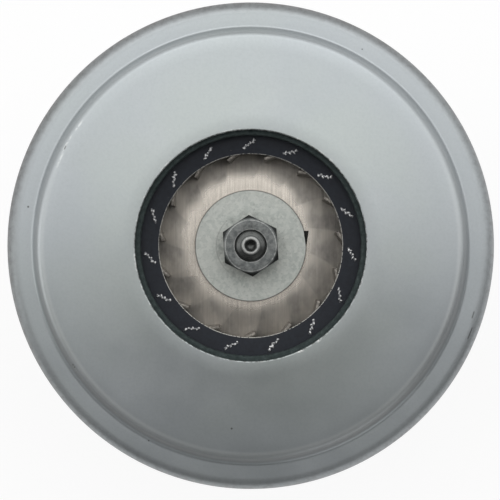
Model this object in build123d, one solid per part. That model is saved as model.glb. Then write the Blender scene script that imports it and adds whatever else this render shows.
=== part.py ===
from build123d import *
import math
import os

os.makedirs("parts", exist_ok=True)

# A dry vacuum cleaner motor: one closed impeller under a pressed cover, on a universal motor.
# Millimetres and degrees. The origin is at the middle of the rear boss's face, and +Z runs up the shaft to
# the inlet.

# Overall sizes
overall_height = 112.0
cover_radius = 65.0
cover_depth = 35.0
cut_overrun = 3.0  # how far every cutting solid runs past what it cuts
slide_fit = 0.02  # radial room of pieces pressed or slid together
seat_gap = 0.1  # room between pieces that lie on each other

# Fan cover
cover_wall = 1.0
cover_corner = 3.0
inlet_radius = 30.2
plate_fall = 3.1678  # from the inlet's edge down to the lip, a slope of 7 degrees
shoulder_width = 7.1
step_width = 1.9
step_height = 2.2

# Seal between the cover and the impeller
seal_lip = 1.2  # how much of the seal shows inside the inlet
seal_width = 4.5
seal_gap = 0.4

# Fan-end bracket
bracket_sheet = 1.5
bracket_rise = 7.0  # from the cover's lower edge to the bracket's upper face
bracket_opening_count = 6
bracket_opening_inner = 18.0
bracket_opening_outer = 30.0
bracket_spoke_width = 7.0

# Diffuser
return_height = 8.0
diffuser_thickness = 1.5
diffuser_margin = 4.5  # from its rim out to the inside of the cover
guide_vane_count = 15
guide_vane_thickness = 1.2
guide_vane_gap = 1.4
guide_vane_angle = 22.0
return_vane_count = 12
return_vane_margin = 2.5
return_vane_reach = 24.0  # from its outer end in towards the shaft
return_vane_angle = 35.0

# Impeller
impeller_margin = 3.0  # from the impeller's rim out to the cover's step
impeller_gap = 1.5
impeller_sheet = 1.2
shroud_sheet = 0.8
eye_ledge = 6.0  # how much of the shroud shows inside the inlet
eye_depth = 4.5  # from the cover's top down to the shroud
vane_count = 15
vane_thickness = 0.8
vane_overhang = 1.0
vane_margin = 1.0
vane_inlet_angle = 27.0
vane_outlet_angle = 40.0
vane_bend_count = 5
tab_setback = 2.6  # from the eye out to the middle of a vane's tab
tab_length = 4.2
tab_thickness = 0.6
tab_height = 0.4
tab_room = 0.1
first_tab_angle = 91.0  # counter-clockwise from +X, seen from the inlet

# Washer, nut and spacer that clamp the impeller
washer_radius = 15.0
washer_thickness = 2.2
washer_notch_depth = 0.9
washer_notch_height = 4.6
nut_across_flats = 14.3
nut_height = 6.5
nut_turn_angle = 3.8
spacer_radius = 5.9

# Bearings
bearing_outer_radius = 11.0
bearing_inner_radius = 4.0
bearing_width = 7.0
bearing_shield_radius = 6.2
bearing_race_radius = 5.9

# Shaft
shaft_radius = 4.0
shaft_body_radius = 5.0
thread_end = 2.1
thread_chamfer = 1.2
centre_hole_radius = 1.5
centre_hole_depth = 2.0

# Motor housing
can_radius = 43.5
can_wall = 1.2
can_corner = 2.2
ear_length = 9.0
ear_width = 13.0
boss_wall = 1.3
boss_floor = 1.2
preload_room = 0.8
window_count = 4
window_width = 34.0
window_height = 18.0
window_bottom = 15.5
floor_opening_inner = 16.5
floor_opening_outer = 29.0
floor_spoke_width = 13.0
shaft_hole_radius = 3.0

# Preload wave washer
preload_inner_radius = 7.5
preload_outer_radius = 10.6
preload_sheet = 0.4
preload_corner_count = 24

# Armature and commutator
commutator_radius = 12.0
commutator_length = 16.0
commutator_rise = 5.0
bar_count = 24
bar_gap = 0.6
bar_gap_depth = 1.0
core_rise = 12.0
core_head_room = 12.5  # from the core up to the bracket
pole_tip = 2.3  # from the bore out to the inside of the coils
slot_count = 12
slot_width_share = 0.162  # of the armature's radius
slot_depth_share = 0.381
winding_setback = 2.0
winding_hub_share = 0.381  # of the armature's radius
winding_overhang = 9.5
winding_room = 0.15

# Field
air_gap = 0.7
field_flat_depth = 5.2  # how much the two flats take off the round of the core
field_yoke = 8.7
field_window_angle = 42.0
coil_thickness = 8.5
coil_half_angle = 65.0
coil_leg_angle = 17.0
coil_bend_count = 4
coil_overhang = 7.5
coil_room = 0.5
coil_back_room = 1.0

# Brush gear
brush_width = 6.4
brush_height = 11.0
brush_spring_length = 12.85
brush_room = 0.1
brush_tip_gap = 0.15
tube_wall = 0.7
tube_tip_gap = 3.5  # from the commutator out to the tube
tube_reach = 6.5  # from the housing out to the tube's outer end
holder_wall = 3.0
holder_depth = 12.5  # from the outside of the housing inwards
holder_room = 0.4
flange_thickness = 3.0
flange_lip = 2.4
flange_ear = 9.0
spring_radius = 2.8
spring_side_count = 12
spring_end_room = 0.2

# Terminals
tab_width = 6.3
tab_sheet = 0.8
tab_reach = 9.0

# Fasteners
screw_radius = 2.0
screw_side_count = 8
screw_head_flats = 7.0
screw_head_height = 3.0
screw_count = 4
first_screw_angle = 45.0
holder_screw_radius = 1.5
holder_screw_head_radius = 2.7
holder_screw_head_height = 1.8
holder_screw_reach = 2.0

# Levels along the shaft, worked out from the sizes above
skirt_bottom = overall_height - cover_depth
bracket_top = skirt_bottom + bracket_rise
bracket_under = bracket_top - bracket_sheet
front_bearing_top = bracket_under + bearing_width
diffuser_bottom = bracket_top + return_height
diffuser_top = diffuser_bottom + diffuser_thickness
impeller_bottom = diffuser_top + impeller_gap
impeller_floor = impeller_bottom + impeller_sheet
shroud_top = overall_height - eye_depth
shroud_under = shroud_top - shroud_sheet
washer_top = impeller_floor + washer_thickness
nut_top = washer_top + nut_height
shaft_top = nut_top + thread_end
rear_bearing_bottom = boss_floor + preload_room
can_bottom = rear_bearing_bottom + bearing_width
commutator_bottom = can_bottom + commutator_rise
commutator_top = commutator_bottom + commutator_length
core_bottom = commutator_top + core_rise
core_top = bracket_under - core_head_room
core_length = core_top - core_bottom
brush_level = commutator_bottom + commutator_length / 2

# Radii and sizes that follow from a neighbour
groove_radius = cover_radius - shoulder_width
lip_radius = groove_radius - step_width
impeller_radius = lip_radius - impeller_margin
diffuser_radius = cover_radius - cover_wall - diffuser_margin
guide_vane_inner_radius = impeller_radius + guide_vane_gap
return_vane_outer_radius = diffuser_radius - return_vane_margin
return_vane_inner_radius = return_vane_outer_radius - return_vane_reach
seal_inner_radius = inlet_radius - seal_lip
seal_outer_radius = seal_inner_radius + seal_width
eye_radius = inlet_radius - eye_ledge
vane_inner_radius = eye_radius - vane_overhang
vane_outer_radius = impeller_radius - vane_margin
tab_radius = eye_radius + tab_setback
bore_radius = shaft_radius + slide_fit
body_bore_radius = shaft_body_radius + slide_fit
bearing_seat_radius = bearing_outer_radius + slide_fit
cup_radius = bearing_seat_radius + bracket_sheet
diffuser_hub_radius = cup_radius + slide_fit
can_inner_radius = can_radius - can_wall
field_outer_radius = can_inner_radius - seat_gap
field_flat_distance = field_outer_radius - field_flat_depth
field_window_radius = field_outer_radius - field_yoke
coil_outer_radius = field_window_radius - coil_back_room
coil_inner_radius = coil_outer_radius - coil_thickness
armature_radius = coil_inner_radius - pole_tip - air_gap
slot_width = armature_radius * slot_width_share
slot_depth = armature_radius * slot_depth_share
winding_radius = armature_radius - winding_setback
winding_hub_radius = armature_radius * winding_hub_share
tube_start = commutator_radius + tube_tip_gap
tube_end = can_radius + tube_reach
holder_start = can_radius - holder_depth
tube_width = brush_width + 2 * (brush_room + tube_wall)
tube_height = brush_height + 2 * (brush_room + tube_wall)
holder_width = tube_width + 2 * holder_wall
holder_height = tube_height + 2 * holder_wall
brush_start = commutator_radius + brush_tip_gap
brush_end = tube_end - brush_spring_length
holder_screw_level = brush_level + holder_height / 2 + flange_ear / 2
holder_seat = can_radius + seat_gap
holder_face = holder_seat + flange_thickness
ear_reach = can_radius + ear_length
screw_circle = (can_radius + ear_reach) / 2


def plate_top(radius):
    """Height of the cover's conical plate at a radius."""
    return overall_height - plate_fall * (radius - inlet_radius) / (lip_radius - inlet_radius)


shoulder_level = plate_top(groove_radius) - step_height


def at_angle(radius, angle):
    """The point at a radius and an angle about the shaft."""
    return radius * math.cos(math.radians(angle)), radius * math.sin(math.radians(angle))


def turned(outline):
    """A solid of revolution about the shaft, from (radius, height) points."""
    return revolve(Plane.XZ * make_face(Polyline(*outline, close=True).edges()), axis=Axis.Z)


def ring(inner, outer, bottom, top):
    """A plain ring or, with no inner radius, a disc."""
    return turned([(inner, bottom), (outer, bottom), (outer, top), (inner, top)])


def block(low, high):
    """A box between two corners."""
    size = [b - a for a, b in zip(low, high)]
    middle = [(a + b) / 2 for a, b in zip(low, high)]
    return Pos(*middle) * Box(*size)


def around(piece, count, first=0.0):
    """Copies of a piece, evenly spaced about the shaft."""
    return [Rot(0, 0, first + 360.0 * n / count) * piece for n in range(count)]


def spoked_opening(inner, outer, count, spoke, bottom, top):
    """A straight-sided opening between two spokes, on +X, with its sides parallel to the spokes."""
    half = 180.0 / count
    lean = math.radians(half)

    def side(reach):
        return math.tan(lean) * reach - spoke / 2 / math.cos(lean)

    outline = [(inner, -side(inner)), (outer, -side(outer)), (outer, side(outer)), (inner, side(inner))]
    face = make_face(Polyline(*outline, close=True).edges())
    return Pos(0, 0, bottom) * extrude(face, amount=top - bottom)


# The fixed casing

def fan_cover():
    inner_radius = cover_radius - cover_wall
    return turned([
        (cover_radius, skirt_bottom),
        (cover_radius, shoulder_level - cover_corner),
        (cover_radius - cover_corner, shoulder_level),
        (groove_radius, shoulder_level),
        (lip_radius, plate_top(lip_radius)),
        (inlet_radius, plate_top(inlet_radius)),
        (inlet_radius, plate_top(inlet_radius) - cover_wall),
        (lip_radius, plate_top(lip_radius) - cover_wall),
        (lip_radius, shoulder_level - cover_wall),
        (cover_radius - cover_corner, shoulder_level - cover_wall),
        (inner_radius, shoulder_level - cover_corner),
        (inner_radius, skirt_bottom),
    ])


def inlet_seal():
    return ring(
        seal_inner_radius, seal_outer_radius,
        shroud_top + seal_gap, plate_top(seal_outer_radius) - cover_wall - seat_gap,
    )


def screw_hole(room, level):
    """A cutter for one screw's hole, as round as the screw is."""
    return Pos(screw_circle, 0, level - cut_overrun) * extrude(
        RegularPolygon(screw_radius + room, screw_side_count), amount=2 * cut_overrun
    )


def fan_end_bracket():
    rim_radius = cover_radius - cover_wall - seat_gap
    cup_top = front_bearing_top + bracket_sheet
    mouth = spacer_radius + bracket_sheet / 2
    shell = turned([
        (rim_radius, bracket_under),
        (rim_radius, bracket_top),
        (cup_radius, bracket_top),
        (cup_radius, cup_top),
        (mouth, cup_top),
        (mouth, front_bearing_top),
        (bearing_seat_radius, front_bearing_top),
        (bearing_seat_radius, bracket_under),
    ])
    opening = spoked_opening(
        bracket_opening_inner, bracket_opening_outer, bracket_opening_count, bracket_spoke_width,
        bracket_under - cut_overrun, bracket_top + cut_overrun,
    )
    holes = around(screw_hole(slide_fit, bracket_under), screw_count, first_screw_angle)
    return shell - around(opening, bracket_opening_count) - holes


def vane_strip(inner, outer, angle, thickness, bottom, top):
    """A straight upright vane that starts on +X and leans by an angle from the radius."""
    lean = math.radians(angle)
    run = math.sqrt(outer**2 - (inner * math.sin(lean))**2) - inner * math.cos(lean)
    strip = block((0, -thickness / 2, bottom), (run, thickness / 2, top))
    return Pos(inner, 0, 0) * (Rot(0, 0, -angle) * strip)


def diffuser():
    reach = diffuser_radius - guide_vane_thickness
    top = shoulder_level - cover_wall - seat_gap
    plate = ring(diffuser_hub_radius, diffuser_radius, diffuser_bottom, diffuser_top)
    guide = vane_strip(
        guide_vane_inner_radius, reach, guide_vane_angle, guide_vane_thickness, diffuser_bottom, top,
    )
    back = vane_strip(
        return_vane_inner_radius, return_vane_outer_radius, return_vane_angle, guide_vane_thickness,
        bracket_top, diffuser_top,
    )
    return plate + around(guide, guide_vane_count) + around(back, return_vane_count)


def motor_housing():
    bottom_top = can_bottom + can_wall
    boss_radius = bearing_seat_radius + boss_wall
    shell = turned([
        (can_radius, bracket_under),
        (can_inner_radius, bracket_under),
        (can_inner_radius, bottom_top + can_corner),
        (can_inner_radius - can_corner, bottom_top),
        (bearing_seat_radius, bottom_top),
        (bearing_seat_radius, boss_floor),
        (0, boss_floor),
        (0, 0),
        (boss_radius, 0),
        (boss_radius, can_bottom),
        (can_radius - can_corner, can_bottom),
        (can_radius, can_bottom + can_corner),
    ])
    ear = block(
        (can_radius - can_wall / 2, -ear_width / 2, bracket_under - can_wall),
        (ear_reach, ear_width / 2, bracket_under),
    )
    half_width = window_width / 2
    window = block(
        (can_inner_radius / 2, -half_width, window_bottom),
        (can_radius + cut_overrun, half_width, window_bottom + window_height),
    )
    floor_opening = spoked_opening(
        floor_opening_inner, floor_opening_outer, window_count, floor_spoke_width,
        can_bottom - cut_overrun, bottom_top + cut_overrun,
    )
    half_opening = holder_width / 2 + holder_room
    holder_opening = block(
        (can_inner_radius / 2, -half_opening, brush_level - holder_height / 2 - holder_room),
        (can_radius + cut_overrun, half_opening, brush_level + holder_height / 2 + holder_room),
    )
    cuts = (
        around(window, window_count, first_screw_angle)
        + around(floor_opening, window_count, first_screw_angle)
        + around(screw_hole(seat_gap, bracket_under), screw_count, first_screw_angle)
        + around(holder_opening, 2)
        + around(holder_screw_bar(holder_screw_radius + slide_fit, can_radius, cut_overrun), 2)
        + [Cylinder(shaft_hole_radius, 2 * (boss_floor + cut_overrun))]
    )
    return shell + around(ear, screw_count, first_screw_angle) - cuts


def housing_screws():
    head_top = bracket_under - can_wall
    head = Pos(screw_circle, 0, head_top - screw_head_height) * extrude(
        RegularPolygon(screw_head_flats / 2, 6, major_radius=False), amount=screw_head_height
    )
    shank = Pos(screw_circle, 0, head_top) * extrude(
        RegularPolygon(screw_radius, screw_side_count), amount=bracket_top - head_top
    )
    screws = around(head + shank, screw_count, first_screw_angle)
    return Compound(children=[Part() + screw for screw in screws])


# Bearings

def bearing_pair(inner, outer):
    """The same ring in the rear bearing and in the fan-end bearing."""
    bottoms = (rear_bearing_bottom, bracket_under)
    return Compound(children=[ring(inner, outer, bottom, bottom + bearing_width) for bottom in bottoms])


def bearing_outer_rings():
    """Each outer ring has its two shields, so it reaches nearly to the inner ring."""
    return bearing_pair(bearing_shield_radius, bearing_outer_radius)


def bearing_inner_rings():
    return bearing_pair(bearing_inner_radius + slide_fit, bearing_race_radius)


def bearing_preload_spring():
    """A wave washer, flat here, as it is when the rotor is pressed home."""
    outside = RegularPolygon(preload_outer_radius, preload_corner_count)
    inside = RegularPolygon(preload_inner_radius, preload_corner_count)
    bottom = boss_floor + (preload_room - preload_sheet) / 2
    return Pos(0, 0, bottom) * extrude(outside - inside, amount=preload_sheet)


# The field

def field_core():
    bore = armature_radius + air_gap
    wide = 2 * field_outer_radius
    outline = Circle(field_outer_radius) & Rectangle(wide, 2 * field_flat_distance)
    slope = math.tan(math.radians(field_window_angle))
    wedge = make_face(Polyline((0, 0), (wide, -wide * slope), (wide, wide * slope), close=True).edges())
    wedges = [wedge, Rot(0, 0, 180) * wedge]
    windows = [(Circle(field_window_radius) - Circle(bore / 2)) & w for w in wedges]
    return Pos(0, 0, core_bottom) * extrude(outline - Circle(bore) - windows, amount=core_length)


def field_coil(middle):
    """A winding round one pole: two legs in the windows and an end turn beyond each face of the core."""

    def sector(inner, outer, half_angle, bottom, top):
        angles = [middle + half_angle * (2 * n / coil_bend_count - 1) for n in range(coil_bend_count + 1)]
        outline = [at_angle(outer, a) for a in angles] + [at_angle(inner, a) for a in reversed(angles)]
        face = make_face(Polyline(*outline, close=True).edges())
        return Pos(0, 0, bottom) * extrude(face, amount=top - bottom)

    whole = sector(
        coil_inner_radius, coil_outer_radius, coil_half_angle,
        core_bottom - coil_overhang, core_top + coil_overhang,
    )
    pole = sector(
        coil_inner_radius / 2, 2 * coil_outer_radius, coil_half_angle - coil_leg_angle,
        core_bottom - coil_room, core_top + coil_room,
    )
    return whole - pole


# The rotor

def rotor_shaft():
    return turned([
        (0, rear_bearing_bottom),
        (shaft_radius, rear_bearing_bottom),
        (shaft_radius, can_bottom),
        (shaft_body_radius, can_bottom),
        (shaft_body_radius, bracket_under),
        (shaft_radius, bracket_under),
        (shaft_radius, shaft_top - thread_chamfer),
        (shaft_radius - thread_chamfer, shaft_top),
        (centre_hole_radius, shaft_top),
        (0, shaft_top - centre_hole_depth),
    ])


def armature_slot(width, inner, outer, bottom, top):
    return block((inner, -width / 2, bottom), (outer, width / 2, top))


def armature_core():
    slot = armature_slot(
        slot_width, armature_radius - slot_depth, armature_radius + cut_overrun,
        core_bottom - cut_overrun, core_top + cut_overrun,
    )
    return ring(body_bore_radius, armature_radius, core_bottom, core_top) - around(slot, slot_count)


def armature_winding():
    """Copper in every slot, gathered into an overhang at each end of the core."""
    bottom_of_slot = armature_radius - slot_depth + winding_room
    bar = armature_slot(
        slot_width - 2 * winding_room, bottom_of_slot, winding_radius - winding_room,
        core_bottom - winding_room, core_top + winding_room,
    )
    face = RegularPolygon(winding_radius, slot_count) - RegularPolygon(winding_hub_radius, slot_count)
    overhang = extrude(face, amount=winding_overhang - winding_room)
    upper = Pos(0, 0, core_top + winding_room) * overhang
    lower = Pos(0, 0, core_bottom - winding_overhang) * overhang
    return upper + lower + around(bar, slot_count)


def commutator():
    """A bar for each flat of the outside, with a gap at every corner."""
    body = Pos(0, 0, commutator_bottom) * extrude(
        RegularPolygon(commutator_radius, bar_count) - Circle(body_bore_radius), amount=commutator_length
    )
    gap = block(
        (commutator_radius - bar_gap_depth, -bar_gap / 2, commutator_bottom - cut_overrun),
        (commutator_radius + cut_overrun, bar_gap / 2, commutator_top + cut_overrun),
    )
    return body - around(gap, bar_count)


# The impeller

arc_radius = (vane_outer_radius**2 - vane_inner_radius**2) / 2 / (
    vane_outer_radius * math.cos(math.radians(vane_outlet_angle))
    - vane_inner_radius * math.cos(math.radians(vane_inlet_angle))
)
arc_centre = (
    vane_inner_radius - arc_radius * math.cos(math.radians(vane_inlet_angle)),
    -arc_radius * math.sin(math.radians(vane_inlet_angle)),
)
arc_offset = math.hypot(*arc_centre)


def arc_angle(radius):
    """Where a vane's centre line crosses a radius, as an angle about the line's own centre."""
    share = (arc_offset**2 + arc_radius**2 - radius**2) / (2 * arc_offset * arc_radius)
    return math.degrees(math.atan2(-arc_centre[1], -arc_centre[0]) - math.acos(share))


def arc_point(angle, aside=0.0):
    """A point of a vane's centre line, or of a line aside from it."""
    x, y = at_angle(arc_radius + aside, angle)
    return arc_centre[0] + x, arc_centre[1] + y


vane_start = arc_angle(vane_inner_radius)
vane_step = (arc_angle(vane_outer_radius) - vane_start) / vane_bend_count
vane_line = [arc_point(vane_start + vane_step * n) for n in range(vane_bend_count + 1)]
tab_share = (arc_angle(tab_radius) - vane_start) / vane_step
tab_place = [a + (b - a) * tab_share for a, b in zip(vane_line[0], vane_line[1])]
tab_lean = math.degrees(math.atan2(vane_line[1][1] - vane_line[0][1], vane_line[1][0] - vane_line[0][0]))
vane_turn = first_tab_angle - math.degrees(math.atan2(tab_place[1], tab_place[0]))


def tab_piece(room, bottom, top):
    """A vane's tab or, with room, the slot for it."""
    half_length, half_width = tab_length / 2 + room, tab_thickness / 2 + room
    strip = block((-half_length, -half_width, bottom), (half_length, half_width, top))
    return Pos(*tab_place, 0) * (Rot(0, 0, tab_lean) * strip)


def impeller_vanes():
    """Curved vanes, each bent in a few flats, with a tab that goes through the shroud."""
    angles = [vane_start + vane_step * n for n in range(vane_bend_count + 1)]
    outline = (
        [arc_point(a, -vane_thickness / 2) for a in angles]
        + [arc_point(a, vane_thickness / 2) for a in reversed(angles)]
    )
    face = make_face(Polyline(*outline, close=True).edges())
    vane = Pos(0, 0, impeller_floor) * extrude(face, amount=shroud_under - impeller_floor)
    vane += tab_piece(0, impeller_floor, shroud_top + tab_height)
    return Compound(children=[Part() + piece for piece in around(vane, vane_count, vane_turn)])


def impeller_shroud():
    plate = ring(eye_radius, impeller_radius, shroud_under, shroud_top)
    slot = tab_piece(tab_room, impeller_floor, overall_height)
    return plate - around(slot, vane_count, vane_turn)


def impeller_back_plate():
    return ring(bore_radius, impeller_radius, impeller_bottom, impeller_floor)


def impeller_spacer():
    return ring(bore_radius, spacer_radius, front_bearing_top, impeller_bottom)


def impeller_washer():
    disc = ring(bore_radius, washer_radius, impeller_floor, washer_top)
    notch = make_face(Polyline(
        (washer_radius + cut_overrun, 0),
        (washer_radius - washer_notch_depth, washer_notch_height),
        (washer_radius + cut_overrun, washer_notch_height),
        close=True,
    ).edges())
    cutter = extrude(notch, amount=washer_thickness + 2 * cut_overrun)
    return disc - Pos(0, 0, impeller_floor - cut_overrun) * cutter


def impeller_nut():
    hexagon = Rot(0, 0, nut_turn_angle + 90) * RegularPolygon(nut_across_flats / 2, 6, major_radius=False)
    return Pos(0, 0, washer_top) * extrude(hexagon - Circle(bore_radius), amount=nut_height)


# Brush gear, built on +X

def bar_along_x(radius, side_count, start, length, level, both=False):
    """A many-sided bar along X, or both ways from where it starts."""
    bar = extrude(RegularPolygon(radius, side_count), amount=length, both=both)
    return Pos(start, 0, level) * (Rot(0, 90, 0) * bar)


def holder_screw_bar(radius, start, length):
    """A bar along a holder screw's axis, both ways from where it starts."""
    return bar_along_x(radius, screw_side_count, start, length, holder_screw_level, both=True)


def brush_holder():
    half_width, half_height = holder_width / 2, holder_height / 2
    body = block(
        (holder_start, -half_width, brush_level - half_height),
        (tube_end, half_width, brush_level + half_height),
    )
    flange = block(
        (holder_seat, -half_width - flange_lip, brush_level - half_height - flange_lip),
        (holder_face, half_width + flange_lip, brush_level + half_height + flange_ear),
    )
    bore_width, bore_height = tube_width / 2 + slide_fit, tube_height / 2 + slide_fit
    bore = block(
        (holder_start - cut_overrun, -bore_width, brush_level - bore_height),
        (tube_end + cut_overrun, bore_width, brush_level + bore_height),
    )
    hole = holder_screw_bar(holder_screw_radius + slide_fit, holder_face, 2 * flange_thickness)
    return body + flange - bore - hole


def brush_tube():
    half_width, half_height = tube_width / 2, tube_height / 2
    outside = block(
        (tube_start, -half_width, brush_level - half_height),
        (tube_end, half_width, brush_level + half_height),
    )
    inside = block(
        (tube_start - cut_overrun, tube_wall - half_width, brush_level - half_height + tube_wall),
        (tube_end + cut_overrun, half_width - tube_wall, brush_level + half_height - tube_wall),
    )
    return outside - inside


def carbon_brush():
    half_width, half_height = brush_width / 2, brush_height / 2
    body = block(
        (0, -half_width, brush_level - half_height),
        (brush_end, half_width, brush_level + half_height),
    )
    return body - Pos(0, 0, brush_level) * Cylinder(brush_start, 2 * brush_height)


def brush_spring():
    start = brush_end + spring_end_room / 2
    length = tube_end - spring_end_room / 2 - start
    return bar_along_x(spring_radius, spring_side_count, start, length, brush_level)


def terminal():
    """The cap that closes the tube and holds the spring, with a push-on tab below."""
    half_width = tube_width / 2
    cap = block(
        (tube_end, -half_width, brush_level - tube_height / 2),
        (tube_end + tab_sheet, half_width, brush_level + tube_height / 2),
    )
    tab = block(
        (tube_end, -tab_width / 2, brush_level - holder_height / 2 - tab_reach),
        (tube_end + tab_sheet, tab_width / 2, brush_level),
    )
    return cap + tab


def brush_holder_screws():
    head = bar_along_x(
        holder_screw_head_radius, screw_side_count, holder_face, holder_screw_head_height, holder_screw_level,
    )
    half = (holder_face - can_inner_radius + holder_screw_reach) / 2
    screw = head + holder_screw_bar(holder_screw_radius, holder_face - half, half)
    return Compound(children=[Part() + piece for piece in around(screw, 2)])


pieces = {
    "fan_cover": fan_cover(),
    "inlet_seal": inlet_seal(),
    "diffuser": diffuser(),
    "fan_end_bracket": fan_end_bracket(),
    "motor_housing": motor_housing(),
    "housing_screws": housing_screws(),
    "field_core": field_core(),
    "field_coil_back": field_coil(90),
    "field_coil_front": field_coil(270),
    "bearing_outer_rings": bearing_outer_rings(),
    "bearing_inner_rings": bearing_inner_rings(),
    "bearing_preload_spring": bearing_preload_spring(),
    "rotor_shaft": rotor_shaft(),
    "armature_core": armature_core(),
    "armature_winding": armature_winding(),
    "commutator": commutator(),
    "impeller_spacer": impeller_spacer(),
    "impeller_back_plate": impeller_back_plate(),
    "impeller_vanes": impeller_vanes(),
    "impeller_shroud": impeller_shroud(),
    "impeller_washer": impeller_washer(),
    "impeller_nut": impeller_nut(),
    "brush_holder_screws": brush_holder_screws(),
}
for side, turn in (("right", 0), ("left", 180)):
    for name, make in (
        ("brush_holder", brush_holder),
        ("brush_tube", brush_tube),
        ("carbon_brush", carbon_brush),
        ("brush_spring", brush_spring),
        ("terminal", terminal),
    ):
        pieces[f"{name}_{side}"] = Rot(0, 0, turn) * make()

for name, piece in pieces.items():
    export_step(piece, f"parts/{name}.step")
    print(name, round(piece.volume, 1))
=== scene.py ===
import math
import random

import bmesh
import bpy
from mathutils import Matrix, Vector, noise


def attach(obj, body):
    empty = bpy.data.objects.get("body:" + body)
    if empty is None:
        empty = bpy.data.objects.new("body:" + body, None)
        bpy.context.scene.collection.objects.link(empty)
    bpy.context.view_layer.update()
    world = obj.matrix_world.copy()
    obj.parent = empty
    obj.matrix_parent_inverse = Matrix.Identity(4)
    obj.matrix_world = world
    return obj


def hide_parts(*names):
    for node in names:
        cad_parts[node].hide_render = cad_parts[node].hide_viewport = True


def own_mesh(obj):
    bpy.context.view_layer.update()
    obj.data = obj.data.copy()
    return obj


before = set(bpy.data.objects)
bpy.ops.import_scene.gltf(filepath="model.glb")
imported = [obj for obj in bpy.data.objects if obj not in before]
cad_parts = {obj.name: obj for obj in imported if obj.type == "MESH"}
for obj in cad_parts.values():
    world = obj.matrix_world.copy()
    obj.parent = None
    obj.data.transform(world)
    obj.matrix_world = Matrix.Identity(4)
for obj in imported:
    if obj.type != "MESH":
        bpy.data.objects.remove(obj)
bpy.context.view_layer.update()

mm = 0.001
fine = 0.001 * mm  # closer than this, two points are one
scene = bpy.context.scene


# Shader sums are written as ordinary sums on these links.

class Link:
    def __init__(self, nodes, socket):
        self.nodes = nodes
        self.socket = socket

    def __add__(self, other):
        return self.nodes.maths("ADD", self, other)

    def __sub__(self, other):
        return self.nodes.maths("SUBTRACT", self, other)

    def __rsub__(self, other):
        return self.nodes.maths("SUBTRACT", other, self)

    def __mul__(self, other):
        return self.nodes.maths("MULTIPLY", self, other)

    def __truediv__(self, other):
        return self.nodes.maths("DIVIDE", self, other)

    def __rtruediv__(self, other):
        return self.nodes.maths("DIVIDE", other, self)

    def __abs__(self):
        return self.nodes.maths("ABSOLUTE", self)

    __radd__ = __add__
    __rmul__ = __mul__


class Nodes:
    def __init__(self, tree):
        self.tree = tree

    def node(self, kind, settings, sockets, output=0):
        made = self.tree.nodes.new(kind)
        for name, value in settings.items():
            if name == "stops":
                self.fillRamp(made.color_ramp, value)
            else:
                setattr(made, name, value)
        for name, value in sockets.items():
            self.feed(made.inputs[name], value)
        return Link(self, made.outputs[output]) if made.outputs else None

    def feed(self, socket, value):
        if isinstance(value, Link):
            self.tree.links.new(value.socket, socket)
        elif isinstance(value, tuple) and len(value) == 3 and socket.type == "RGBA":
            socket.default_value = (*value, 1.0)
        else:
            socket.default_value = value

    def fillRamp(self, ramp, stops):
        while len(ramp.elements) < len(stops):
            ramp.elements.new(1.0)
        for element, (position, colour) in zip(ramp.elements, stops):
            element.position = position
            element.color = (*colour, 1.0)

    def maths(self, operation, first, second=0.0):
        return self.node("ShaderNodeMath", {"operation": operation}, {0: first, 1: second})

    def either(self, first, second):
        return self.maths("MAXIMUM", first, second)

    def between(self, value, low, high, start=0.0, end=1.0):
        # start below low, end above high, and smooth between them
        return self.node(
            "ShaderNodeMapRange", {"interpolation_type": "SMOOTHSTEP"},
            {"Value": value, "From Min": low, "From Max": high, "To Min": start, "To Max": end}, "Result",
        )

    def spread(self, pattern, start=0.0, end=1.0):
        # from start to end over the levels that most of a noise has
        return self.between(pattern, 0.3, 0.7, start, end)

    def below(self, value, low, high, strength=1.0):
        # full strength below low, and none above high
        return self.between(value, low, high, strength, 0.0)

    def band(self, value, middle, near, far, strength=1.0):
        # full strength within near of the middle, and none beyond far
        return self.below(abs(value - middle), near, far, strength)

    def mix(self, factor, first, second):
        return self.node("ShaderNodeMix", {"data_type": "RGBA"}, {0: factor, 6: first, 7: second}, 2)

    def split(self, vector):
        outputs = self.node("ShaderNodeSeparateXYZ", {}, {"Vector": vector}).socket.node.outputs
        return [Link(self, outputs[axis]) for axis in ("X", "Y", "Z")]

    def onlySeen(self, *rays):
        # 1 for the rays of the kinds named, and 0 for light that falls on the object
        outputs = self.node("ShaderNodeLightPath", {}, {}).socket.node.outputs
        seen = Link(self, outputs[rays[0]])
        for ray in rays[1:]:
            seen = self.either(seen, Link(self, outputs[ray]))
        return seen


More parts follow.
